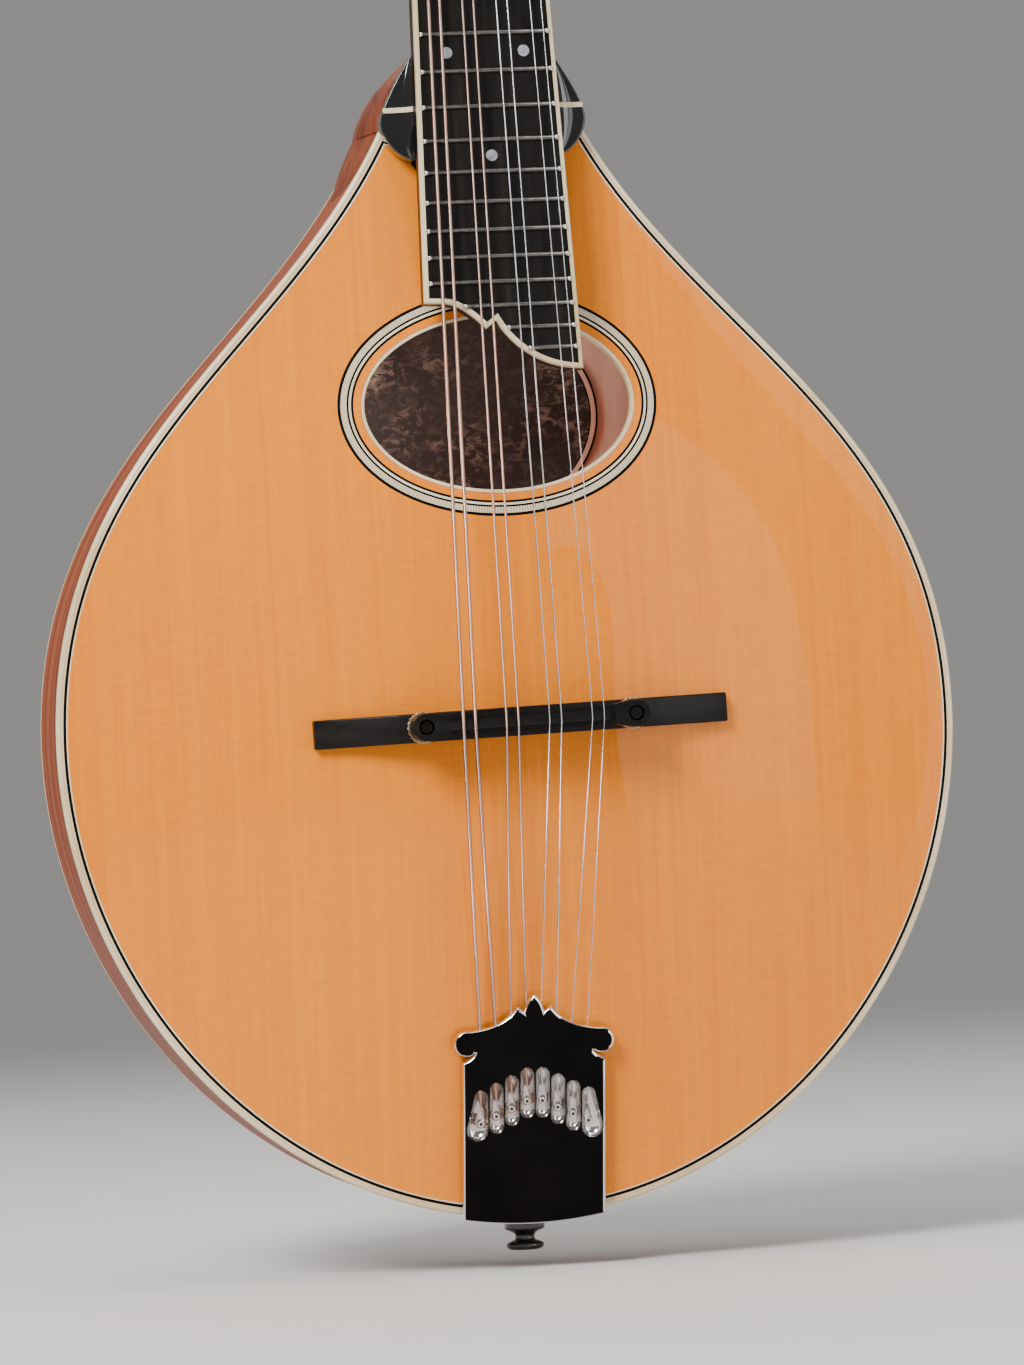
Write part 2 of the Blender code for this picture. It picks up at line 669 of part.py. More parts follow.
def make_brace(materials):
    stations = 9
    sections = []
    for i in range(stations):
        x = BRACE_HALF * (2 * i / (stations - 1) - 1)
        high = top_out(x, BRACE_ALONG) - PLATE_THICKNESS - ARCH_SEAT - GAP
        share = abs(x) / BRACE_HALF
        low = high - BRACE_HEIGHT * (1 - 0.6 * share ** 3)
        side = BRACE_WIDTH / 2
        sections.append([place(x, BRACE_ALONG + da, out)
                         for da, out in ((-side, high), (side, high), (side, low), (-side, low))])
    link(loft("top_brace", sections), materials["spruce"])


# Neck and fingerboard

def d_section(half, depth, fullness, steps=9):
    """Flat-topped section in (x, down): the top corner at +x, round below to -x."""
    points = []
    deepest = max(math.sin(math.pi * i / steps) for i in range(steps + 1))
    for i in range(steps + 1):
        angle = math.pi * i / steps
        c, s = math.cos(angle), max(0.0, math.sin(angle)) / deepest
        x = math.copysign(half * abs(c) ** (2 / fullness), c)
        points.append((x, depth * s ** (2 / fullness)))
    return points


def head_half_line():
    """Half widths of the headstock from the nut to its crown, as (half, up) pairs."""
    waist = bezier((BOARD_HALF_AT_NUT, 0.0), (BOARD_HALF_AT_NUT + 0.6 * MM, 17 * MM),
                   (HEAD_HALF_LOW - 1.5 * MM, 13 * MM), (HEAD_HALF_LOW, HEAD_WAIST_END), 7)
    crown = bezier((HEAD_HALF_HIGH, HEAD_CROWN_START), (HEAD_HALF_HIGH - 0.8 * MM, HEAD_LENGTH - 7 * MM),
                   (13 * MM, HEAD_LENGTH - 1.5 * MM), (0.0, HEAD_LENGTH), 8)
    return waist + [(HEAD_HALF_LOW, HEAD_WAIST_END)] + crown


def make_neck(frames, materials):
    """Shaft and headstock as one skin, with the heel and its tenon joined on."""
    sections = []
    heel_start = JOINT_ALONG + GAP
    last_along = NUT_ALONG - 4.5 * MM
    for i in range(8):
        share = i / 7
        along = heel_start + (last_along - heel_start) * share
        depth = NECK_DEPTH_AT_HEEL + (NECK_DEPTH_AT_NUT - NECK_DEPTH_AT_HEEL) * share
        top = board_under_out(along) - GAP
        section = d_section(board_half(from_nut(along)), depth, 2.3)
        sections.append([place(x, along, top - down) for x, down in section])
    for half, up in head_half_line():
        fullness = 2.4 + 5.0 * min(1.0, up / HEAD_WAIST_END)
        section = d_section(half, HEAD_THICKNESS, fullness)
        lifted = max(up, 1.0 * MM)
        sections.append([frames["head"] @ Vector((x, down, lifted)) for x, down in section])
    neck = loft("neck", sections)
    link(neck, materials["walnut"])

    heel_sections = []
    for above, half, depth, squareness in HEEL_SHAPE:
        section = d_section(half * MM, depth * MM, squareness)
        along = heel_start + above * MM
        heel_sections.append([place(x, along, HEEL_TOP_OUT - down) for x, down in section])
    boolean(neck, loft("heel_form", heel_sections), "UNION")
    boolean(neck, tenon_box("tenon_form", 0.0), "UNION")

    to_world = frames["neck"]
    rod_end = from_nut(JOINT_ALONG) - 8 * MM
    spare = ROD_RADIUS + GAP
    slot = box("rod_slot", (-spare, BOARD_THICKNESS - 1 * MM, -rod_end),
               (spare, ROD_DEPTH + spare, 24 * MM))
    slot.matrix_world = to_world
    boolean(neck, slot)
    well = box("rod_nut_well", (-5 * MM, BOARD_THICKNESS - 1 * MM, NUT_THICKNESS + 1 * MM),
               (5 * MM, ROD_DEPTH + ROD_NUT_RADIUS + GAP, 24 * MM))
    well.matrix_world = to_world
    boolean(neck, well)
    bores = [((sx * POST_X, -1 * MM, z), (sx * POST_X, HEAD_THICKNESS + 1 * MM, z))
             for sx in (-1, 1) for z in post_heights()]
    holes = rods("post_holes", bores, POST_RADIUS + GAP, sides=12)
    holes.matrix_world = frames["head"]
    boolean(neck, holes)


def post_heights():
    return [POST_FIRST + POST_SPACING * i for i in range(4)]


def board_outline():
    """The fingerboard with its binding, in (x, z) of the neck's frame, nut end at z = 0."""
    bass_end, treble_end = from_nut(BASS_END_ALONG), from_nut(TREBLE_END_ALONG)
    bass_lip = (BASS_LIP[0], -from_nut(BASS_LIP[1]))
    low_cusp = (LOWER_CUSP[0], -from_nut(LOWER_CUSP[1]))
    high_cusp = (UPPER_CUSP[0], -from_nut(UPPER_CUSP[1]))
    treble_tip = (board_half(treble_end), -treble_end)
    lip = bezier(bass_lip, (bass_lip[0] + 5 * MM, bass_lip[1]),
                 (low_cusp[0] - 3.3 * MM, low_cusp[1] + 3 * MM), low_cusp, 6)
    sweep = bezier(high_cusp, (high_cusp[0] + 3 * MM, high_cusp[1] - 5.8 * MM),
                   (9 * MM, treble_tip[1] + 0.3 * MM), treble_tip, 8)
    return ([(-BOARD_HALF_AT_NUT, 0.0), (-board_half(bass_end), -bass_end)] + lip + [low_cusp]
            + sweep + [treble_tip, (BOARD_HALF_AT_NUT, 0.0)])


def board_inset(distance):
    """The board's outline moved in by a distance on three sides, but not at the nut."""
    moved = inset(board_outline(), distance, longest=1.7)
    moved[0] = (moved[0][0], 0.0)
    moved[-1] = (moved[-1][0], 0.0)
    return moved


def fret_span(points, z):
    """The last stretch of the board across a line at z."""
    crossings = []
    for (x0, z0), (x1, z1) in zip(points, points[1:] + points[:1]):
        if (z0 - z) * (z1 - z) < 0:
            crossings.append(x0 + (x1 - x0) * (z - z0) / (z1 - z0))
    crossings.sort()
    return crossings[-2], crossings[-1]


def make_fingerboard(frame, materials):
    ebony = board_inset(BOARD_BINDING + GAP)
    board = flat_solid("fretboard", [ebony], 0.0, BOARD_THICKNESS)
    link(board, materials["ebony"], frame)
    bm = bmesh.new()
    half, sink = FRET_WIDTH / 2, 0.3 * MM
    profile = [(-half, sink), (-half, -0.25 * FRET_HEIGHT), (-0.5 * half, -FRET_HEIGHT),
               (0.5 * half, -FRET_HEIGHT), (half, -0.25 * FRET_HEIGHT), (half, sink)]
    for number in range(1, FRET_COUNT + 1):
        z = -SCALE * (1 - 2 ** (-number / 12))
        spans = [fret_span(ebony, z + edge) for edge in (-half, half)]
        left, right = max(span[0] for span in spans), min(span[1] for span in spans)
        ends = []
        for x in (left + GAP, right - GAP):
            ends.append([bm.verts.new((x, y, z + dz)) for dz, y in profile])
        count = len(profile)
        for i in range(count):
            j = (i + 1) % count
            bm.faces.new((ends[0][i], ends[0][j], ends[1][j], ends[1][i]))
        bm.faces.new(ends[0])
        bm.faces.new(ends[1])
    boolean(board, finish_mesh("fret_wires", bm), "UNION")
    edging = board_outline() + list(reversed(board_inset(BOARD_BINDING)))
    link(flat_solid("fretboard_binding", [edging], 0.0, BOARD_THICKNESS), materials["binding"], frame)


def make_nut(frame, materials):
    slot_y = -(FRET_HEIGHT + ACTION_AT_NUT - GAP)
    half = BOARD_HALF_AT_NUT
    top = [(-half, -NUT_TOP)]
    for x, radius in zip(string_spread(COURSE_AT_NUT, PAIR_AT_NUT), STRING_RADII):
        side = radius + GAP
        top += [(x - side, -NUT_TOP), (x - side, slot_y), (x + side, slot_y), (x + side, -NUT_TOP)]
    top += [(half, -NUT_TOP), (half, BOARD_THICKNESS), (-half, BOARD_THICKNESS)]
    nut = flat_solid("nut", [top], GAP, GAP + NUT_THICKNESS, keep_curve_plane=True)
    link(nut, materials["bone"], frame)


def make_riser(materials):
    start = JOINT_ALONG - 0.6 * MM
    sections = []
    for share in (0.0, 0.15, 0.4, 0.7, 1.0):
        along = start + (RISER_END - start) * share
        narrow = min(1.0, share / 0.4)
        half = RISER_HALF[0] + (RISER_HALF[1] - RISER_HALF[0]) * narrow
        top = board_under_out(along) - GAP
        half_top = min(half, RISER_HALF[1] + 1 * MM)
        under = [(x * half, top_out(x * half, along) + ARCH_SEAT) for x in (1.0, 0.5, 0.0, -0.5, -1.0)]
        points = [(-half_top, top), (half_top, top)] + under
        sections.append([place(x, along, out) for x, out in points])
    link(loft("extension_riser", sections), materials["walnut"])


def make_caps(frames, materials):
    """Black shoulder caps beside the board over the neck joint, with their inlaid strips."""
    low, high = CAP_OUTS
    for side, label in ((-1, "bass"), (1, "treble")):
        def edge(along):
            return board_half(from_nut(along)) + 2 * GAP
        foot, tip = CAP_ENDS
        curve = bezier((edge(foot), foot), (edge(foot) + 3.5 * MM, foot + 0.6 * MM),
                       (JOINT_HALF, JOINT_ALONG - 4 * MM), (JOINT_HALF, JOINT_ALONG + 1 * MM), 6)
        flare = bezier((JOINT_HALF, JOINT_ALONG + 1 * MM),
                       (JOINT_HALF - 0.1 * MM, JOINT_ALONG + 5.7 * MM),
                       (edge(tip) + 4.6 * MM, tip - 7 * MM), (edge(tip) + 0.5 * MM, tip), 5)
        inner = [(edge(tip) + 0.5 * MM, tip), (edge(tip), tip), (edge(JOINT_ALONG), JOINT_ALONG)]
        points = [(side * x, SADDLE_Z + along) for x, along in curve + flare + inner]
        cap = flat_solid("shoulder_cap_" + label, [points], FACE_Y - high, FACE_Y - low)
        link(cap, materials["gloss_black"])
        width, depth = CAP_STRIP
        reach = JOINT_HALF - 1.2 * MM
        start = edge(CAP_STRIP_ALONG) + GAP
        slot = box("strip_slot_" + label,
                   place(side * (start - 2 * MM), CAP_STRIP_ALONG - width / 2 - GAP, high - depth - GAP),
                   place(side * (reach + 6 * MM), CAP_STRIP_ALONG + width / 2 + GAP, high + 1 * MM))
        boolean(cap, slot)
        strip = box("cap_strip_" + label, place(side * start, CAP_STRIP_ALONG - width / 2, high - depth),
                    place(side * reach, CAP_STRIP_ALONG + width / 2, high))
        link(strip, materials["binding"])


def make_truss_rod(frame, materials):
    rod = rods("truss_rod", [((0, ROD_DEPTH, -ROD_LENGTH), (0, ROD_DEPTH, ROD_NUT_START + 4 * MM))],
               ROD_RADIUS, sides=12)
    link(rod, materials["steel"], frame)
    nut = rods("truss_rod_nut", [((0, 0, 0), (0, 0, ROD_NUT_LENGTH))], ROD_NUT_RADIUS, sides=6)
    nut.location = (0, ROD_DEPTH, ROD_NUT_START)
    link(nut, materials["steel"], frame)
    bore = rods("rod_nut_bore", [((0, 0, -1 * MM), (0, 0, ROD_NUT_LENGTH + 1 * MM))],
                ROD_RADIUS + GAP, sides=12)
    bore.location = nut.location
    boolean(nut, bore)


# Headstock

def make_head_front(frame, materials):
    """Veneer over the headstock, and the cover over the truss rod's nut."""
    line = head_half_line() + [(0.0, HEAD_LENGTH)]
    line = [(half, max(up, 0.6 * MM)) for half, up in line]
    outline = line + [(-half, up) for half, up in reversed(line[:-1])]
    top, bottom = -(GAP + VENEER_THICKNESS), -GAP
    holes = [arc((sx * POST_X, z), POST_RADIUS + GAP, 0, 330, 11)
             for sx in (-1, 1) for z in post_heights()]
    well = [(-4.5 * MM, 4 * MM), (4.5 * MM, 4 * MM), (4.5 * MM, 22 * MM), (-4.5 * MM, 22 * MM)]
    veneer = flat_solid("headstock_veneer", [outline] + holes + [well], top, bottom)
    link(veneer, materials["gloss_black"], frame)
    half = bezier((0.0, 33 * MM), (2.4 * MM, 29 * MM), (6.5 * MM, 30 * MM), (7.6 * MM, 20 * MM), 6)
    half += bezier((7.6 * MM, 20 * MM), (8.2 * MM, 14 * MM), (8.0 * MM, 6 * MM), (7.4 * MM, 1.6 * MM), 4)
    half += [(7.4 * MM, 1.6 * MM)]
    cover = flat_solid("truss_rod_cover", [mirrored(half)], top - GAP - COVER_THICKNESS, top - GAP)
    link(cover, materials["ebony"], frame)


def make_tuner_plates(frame, materials):
    width, length, thickness = PLATE_SIZE
    front = HEAD_THICKNESS + GAP
    middle = post_heights()[0] + 1.5 * POST_SPACING - WORM_DROP / 2
    ears = ear_places()
    for side, label in ((-1, "bass"), (1, "treble")):
        corner = 2.5 * MM
        x0, x1 = PLATE_X - width / 2, PLATE_X + width / 2
        z0, z1 = middle - length / 2, middle + length / 2
        outline = arc((x1 - corner, z0 + corner), corner, -90, 0, 3)
        outline += arc((x1 - corner, z1 - corner), corner, 0, 90, 3)
        outline += arc((x0 + corner, z1 - corner), corner, 90, 180, 3)
        outline += arc((x0 + corner, z0 + corner), corner, 180, 270, 3)
        bores = [arc((POST_X, z), POST_RADIUS + GAP, 0, 330, 11) for z in post_heights()]
        loops = [[(side * x, z) for x, z in points] for points in [outline] + bores]
        plate = flat_solid("tuner_plate_" + label, loops, front, front + thickness)
        link(plate, materials["nickel"], frame)
        corners = []
        for z in post_heights():
            for x in ears:
                low = (min(side * x, side * (x + EAR_THICKNESS)), front + thickness / 2,
                       z - WORM_DROP - EAR_WIDTH / 2)
                high = (low[0] + EAR_THICKNESS, GEAR_Y + 2.6 * MM, z - WORM_DROP + EAR_WIDTH / 2)
                corners.append((low, high))
        boolean(plate, boxes("tuner_ears_" + label, corners), "UNION")
        lines = [((side * 8 * MM, GEAR_Y, z - WORM_DROP), (side * 32 * MM, GEAR_Y, z - WORM_DROP))
                 for z in post_heights()]
        boolean(plate, rods("shaft_bores_" + label, lines, SHAFT_RADIUS + GAP, sides=8))


def ear_places():
    """Inner sides of a shaft's two ears, across from the headstock's centre line."""
    worm_start = POST_X - WORM_LENGTH / 2
    return worm_start - GAP - EAR_THICKNESS, worm_start + WORM_LENGTH + GAP


def knob_profile():
    start, end = -WORM_LENGTH / 2, WORM_LENGTH / 2
    tip = start - GAP - EAR_THICKNESS - 0.8 * MM
    button, length, radius = BUTTON_START - POST_X, BUTTON_LENGTH, BUTTON_RADIUS
    return [(tip, 0.0), (tip, SHAFT_RADIUS), (start, SHAFT_RADIUS), (start, WORM_RADIUS),
            (end, WORM_RADIUS), (end, SHAFT_RADIUS), (button - 1 * MM, SHAFT_RADIUS),
            (button, 0.42 * radius), (button + 0.2 * length, 0.78 * radius),
            (button + 0.5 * length, radius), (button + 0.82 * length, 0.74 * radius),
            (button + length, 0.0)]


def make_tuners(frame, materials):
    """Each machine's knob with its worm, and its post with its gear."""
    number = 0
    for side, label in ((-1, "bass"), (1, "treble")):
        for z in post_heights():
            number = number % 4 + 1
            knob = turned("tuner_knob_%s_%d" % (label, number), knob_profile(), 10, "X")
            for vert in knob.data.vertices:
                share = (vert.co.x - (BUTTON_START - POST_X - 1 * MM)) / (0.3 * BUTTON_LENGTH)
                vert.co.y *= 1 - (1 - BUTTON_FLATNESS) * min(1.0, max(0.0, share))
            if side < 0:
                flip = Matrix.Rotation(math.pi, 4, "Z")
                knob.data.transform(flip)
            knob.location = (side * POST_X, GEAR_Y, z - WORM_DROP)
            link(knob, materials["button"], frame)

            gear = []
            for i in range(GEAR_TEETH):
                middle = 360 * i / GEAR_TEETH
                pitch = 360 / GEAR_TEETH
                for radius, share in ((GEAR_ROOT, -0.5), (GEAR_TIP, -0.17), (GEAR_TIP, 0.17)):
                    angle = math.radians(middle + share * pitch)
                    gear.append((radius * math.cos(angle), radius * math.sin(angle)))
            post = flat_solid("tuner_post_%s_%d" % (label, number), [gear],
                              -GEAR_THICKNESS / 2, GEAR_THICKNESS / 2)
            post.location = (side * POST_X, GEAR_Y, z)
            link(post, materials["nickel"], frame)
            tip = -(GAP + VENEER_THICKNESS + POST_STICK_OUT) - GEAR_Y
            waist = tip + POST_STICK_OUT - WINDING_TOP - 1 * MM
            profile = [(tip, 0.0), (tip, 0.8 * POST_RADIUS), (tip + 0.6 * MM, POST_RADIUS),
                       (waist, POST_RADIUS), (0.0, POST_RADIUS), (0.0, 0.0)]
            shaft = turned("post_shaft_%s_%d" % (label, number), profile, 12, "Y")
            shaft.location = post.location
            boolean(post, shaft, "UNION")
            eye = tip + 1.8 * MM
            bore = rods("post_eye_%s_%d" % (label, number), [((0, eye, -5 * MM), (0, eye, 5 * MM))],
                        0.9 * MM, sides=6)
            bore.location = post.location
            boolean(post, bore)


# Bridge, in its own frame: y = -out

def base_top_out():
    return TOP_RISE + BASE_RISE


def wheel_low_out():
    return base_top_out() + WHEEL_LIFT


def saddle_low_out():
    return wheel_low_out() + WHEEL_THICKNESS + GAP


def string_out_at_saddle():
    """Underside of the strings over the saddle, from the action at the nut and the 12th fret."""
    twelfth = NUT_ALONG / 2
    nut = fret_plane_out(NUT_ALONG) + ACTION_AT_NUT
    return 2 * (fret_plane_out(twelfth) + ACTION_AT_12) - nut


def make_bridge(frame, materials):
    stations = 14
    under = []
    for i in range(stations + 1):
        x = BASE_HALF * (2 * i / stations - 1)
        relief = BASE_RELIEF * max(0.0, 1 - (x / BRIDGE_POST_X * 1.35) ** 2)
        under.append((x, top_out(BRIDGE_X + x, BRIDGE_ALONG) + GAP + relief))
    tip = (BASE_HALF, under[-1][1] + BASE_TIP)
    shoulder = (BASE_SHOULDER, base_top_out())
    rise = bezier(tip, (BASE_HALF - 5 * MM, tip[1] + 0.2 * MM),
                  (BASE_SHOULDER + 6 * MM, base_top_out() - 3 * MM), shoulder, 5) + [shoulder]
    outline = under + rise + [(-x, out) for x, out in reversed(rise)]
    outline = [(x, -out) for x, out in outline]
    base = flat_solid("bridge_base", [outline], -BASE_WIDTH / 2, BASE_WIDTH / 2, keep_curve_plane=True)
    link(base, materials["ebony"], frame)
    pocket = base_top_out() - BRIDGE_POST_POCKET
    ends = [((side * BRIDGE_POST_X, -pocket, 0), (side * BRIDGE_POST_X, -base_top_out() - 1 * MM, 0))
            for side in (-1, 1)]
    boolean(base, rods("post_pockets", ends, BRIDGE_POST_RADIUS + GAP, sides=14))

    low = saddle_low_out()
    high = low + SADDLE_BODY
    crown = string_out_at_saddle() - GAP
    end = arc((BRIDGE_POST_X, 0.0), SADDLE_WIDTH / 2, -100, 100, 8)
    waist = (BRIDGE_POST_X - SADDLE_WIDTH * 0.75, SADDLE_WAIST / 2)
    half = [(waist[0], -waist[1])] + end + [(waist[0], waist[1])]
    plan = half + [(-x, z) for x, z in reversed(half)]
    saddle = flat_solid("bridge_saddle", [plan], -high, -low)
    link(saddle, materials["ebony"], frame)
    ridge = [(-SADDLE_CROWN_HALF, -high + 0.5 * MM), (-SADDLE_CROWN_HALF + 3 * MM, -crown),
             (SADDLE_CROWN_HALF - 3 * MM, -crown), (SADDLE_CROWN_HALF, -high + 0.5 * MM)]
    crown_form = flat_solid("saddle_crown", [ridge], -CROWN_WIDTH / 2, CROWN_WIDTH / 2,
                            keep_curve_plane=True)
    boolean(saddle, crown_form, "UNION")
    bores = [((side * BRIDGE_POST_X, -low + 1 * MM, 0), (side * BRIDGE_POST_X, -high - 1 * MM, 0))
             for side in (-1, 1)]
    boolean(saddle, rods("saddle_bores", bores, BRIDGE_POST_RADIUS + 1.5 * GAP, sides=14))

    for side, label in ((-1, "bass"), (1, "treble")):
        x = side * BRIDGE_POST_X
        post = rods("bridge_post_" + label, [((x, -pocket - GAP, 0), (x, -high + 0.6 * MM, 0))],
                    BRIDGE_POST_RADIUS, sides=12)
        link(post, materials["nickel"], frame)
        rim = []
        for i in range(2 * WHEEL_TEETH):
            angle = math.pi * i / WHEEL_TEETH
            radius = WHEEL_RADIUS - (0.35 * MM if i % 2 else 0.0)
            rim.append((radius * math.cos(angle), radius * math.sin(angle)))
        bore = arc((0.0, 0.0), BRIDGE_POST_RADIUS + GAP, 0, 330, 11)
        wheel = flat_solid("thumbwheel_" + label, [rim, bore], -WHEEL_THICKNESS / 2, WHEEL_THICKNESS / 2)
        wheel.location = (x, -wheel_low_out() - WHEEL_THICKNESS / 2, 0)
        link(wheel, materials["nickel"], frame)


# Tailpiece and end pin

def peg_places():
    """The eight pegs in the tailpiece's flat pattern, bass to treble."""
    return [((i - 3.5) * PEG_SPACING, PEG_FIRST - PEG_DROP * (abs(i - 3.5) - 0.5)) for i in range(8)]


def tail_edge(x):
    """Where the tailpiece's rear edge lies at x, so that it follows the body's tail."""
    beyond = (TAILPIECE_X + x) ** 2 / (2 * TAIL_RADIUS) - TAILPIECE_OVERHANG
    return (beyond + x * math.sin(TAILPIECE_TWIST)) / math.cos(TAILPIECE_TILT)


def tailpiece_outline():
    """Outline with the fleur-like front, side lobes, straight sides and curved rear edge."""
    tip = (0.0, TAILPIECE_LENGTH)
    notch = (2.9 * MM, TAILPIECE_LENGTH - 4.6 * MM)
    side_tip = (4.7 * MM, TAILPIECE_LENGTH - 3.2 * MM)
    lobe = arc(LOBE_CENTRE, LOBE_RADIUS, 100, -135, 9)
    half = bezier(tip, (1.5 * MM, tip[1] - 0.9 * MM), (2.4 * MM, tip[1] - 2.6 * MM), notch, 4)
    half += [notch]
    half += bezier(side_tip, (7.6 * MM, side_tip[1] - 4.2 * MM),
                   (12.0 * MM, lobe[0][1] + 0.5 * MM), lobe[0], 6)
    half += lobe
    shoulder = (TAILPIECE_HALF, LOBE_CENTRE[1] - 5.2 * MM)
    half += bezier((lobe[-1][0] + 0.3 * MM, lobe[-1][1] - 0.3 * MM), (17.2 * MM, shoulder[1] + 1.4 * MM),
                   (18.6 * MM, shoulder[1] + 0.5 * MM), shoulder, 3)
    half += [shoulder]
    rear = [(TAILPIECE_HALF * i / 4, tail_edge(TAILPIECE_HALF * i / 4)) for i in range(4, -5, -1)]
    return half + rear + [(-x, z) for x, z in reversed(half[1:])]


def scoop(x, z):
    low, high = z - SCOOP_BELOW + 1.9 * MM, z + SCOOP_ABOVE - 1.4 * MM
    return arc((x, high), 1.4 * MM, 0, 180, 5) + arc((x, low), 1.9 * MM, 180, 360, 6)


def tail_flange(name):
    """Curved strip behind the plate, down the body's tail to the end pin."""
    half = [(x * MM, depth * MM) for x, depth in FLANGE_DEPTHS]
    sections = []
    for x, depth in [(-x, depth) for x, depth in half] + list(reversed(half[:-1])):
        inner = TAIL_ALONG + (PIN_X + x) ** 2 / (2 * TAIL_RADIUS) - GAP
        outer, high = inner - FLANGE_THICKNESS, TAILPIECE_LIFT + 0.6 * MM
        corners = ((inner, high), (outer, high), (outer, -depth), (inner, -depth))
        sections.append([place(PIN_X + x, along, out) for along, out in corners])
    return loft(name, sections)


def make_tailpiece(frames, frame, materials):
    loops = [tailpiece_outline()] + [scoop(x, z) for x, z in peg_places()]
    plate = flat_solid("tailpiece", loops, -TAILPIECE_THICKNESS, 0.0)
    link(plate, materials["polished"], frame)
    to_frame = frames["tail"].inverted()
    flange = tail_flange("tail_flange")
    flange.data.transform(to_frame)
    bore = pin_bore("flange_bore")
    bore.data.transform(to_frame)
    tongues, pegs, grooves = [], [], []
    for x, z in peg_places():
        low = z - SCOOP_BELOW
        tongues.append(((x - 0.7 * MM, -1.1 * MM, low - 1.2 * MM),
                        (x + 0.7 * MM, -0.1 * MM, z + 0.4 * MM)))
        pegs.append(((x, -0.4 * MM, z), (x, -TAILPIECE_THICKNESS + 0.3 * MM, z)))
        grooves.append(((x - 1.3 * MM, -1.9 * MM, z + SCOOP_ABOVE - 1.2 * MM),
                        (x + 1.3 * MM, 1.0 * MM, TAILPIECE_LENGTH + 2 * MM)))
    boolean(plate, boxes("string_grooves", grooves))
    boolean(plate, boxes("peg_tongues", tongues), "UNION")
    boolean(plate, rods("peg_rods", pegs, PEG_RADIUS, sides=8), "UNION")
    boolean(plate, flange, "UNION")
    boolean(plate, bore)


def make_end_pin(materials):
    seat = PIN_REACH - FLANGE_THICKNESS - 2 * GAP
    inner = PIN_REACH + 18 * MM
    head, collar, neck = PIN_HEAD_RADIUS, PIN_COLLAR_RADIUS, PIN_NECK_RADIUS
    profile = [(0.0, 0.0), (0.0, head - 0.8 * MM), (0.6 * MM, head), (1.7 * MM, head),
               (2.3 * MM, neck + 0.3 * MM), (2.9 * MM, neck), (4.0 * MM, neck),
               (5.2 * MM, collar - 1 * MM), (5.6 * MM, collar), (seat, collar),
               (seat, PIN_SHANK_RADIUS), (inner, PIN_SHANK_RADIUS - 0.4 * MM), (inner, 0.0)]
    pin = turned("end_pin", profile, 16, "Z")
    pin.location = place(PIN_X, TAIL_ALONG - PIN_REACH, -RIM_DEPTH / 2)
    link(pin, materials["ebony"])


# Strings

def winding(centre, side, start_point, radius):
    """Turns of a string round a post, in the headstock's frame, from the inner side downwards."""
    reach = POST_RADIUS + GAP + radius
    offset = Vector((centre.x - start_point.x, centre.z - start_point.z))
    offset.x *= -side
    bearing = math.atan2(offset.y, offset.x)
    start = bearing - math.acos(-reach / offset.length)
    pitch = 2 * radius + 0.55 * MM
    height = -(GAP + VENEER_THICKNESS) - WINDING_TOP
    points = []
    for i in range(round(WINDING_TURNS * WINDING_STEPS) + 1):
        angle = start + 2 * math.pi * i / WINDING_STEPS
        x = centre.x - side * reach * math.cos(angle)
        z = centre.z + reach * math.sin(angle)
        points.append(Vector((x, height + pitch * i / WINDING_STEPS, z)))
    return points


def least_gap(points, radius):
    """Least gap of a tube to itself, between pieces more than half a turn apart."""
    least = 1.0
    for i, a in enumerate(points):
        for b in points[i + WINDING_STEPS // 2 + 1:]:
            least = min(least, (a - b).length - 2 * radius)
    return least


def front_edge(x, outline):
    """Where the tailpiece's front edge lies at x."""
    best = 0.0
    for (x0, z0), (x1, z1) in zip(outline, outline[1:] + outline[:1]):
        if (x0 - x) * (x1 - x) < 0:
            best = max(best, z0 + (z1 - z0) * (x - x0) / (x1 - x0))
    return best


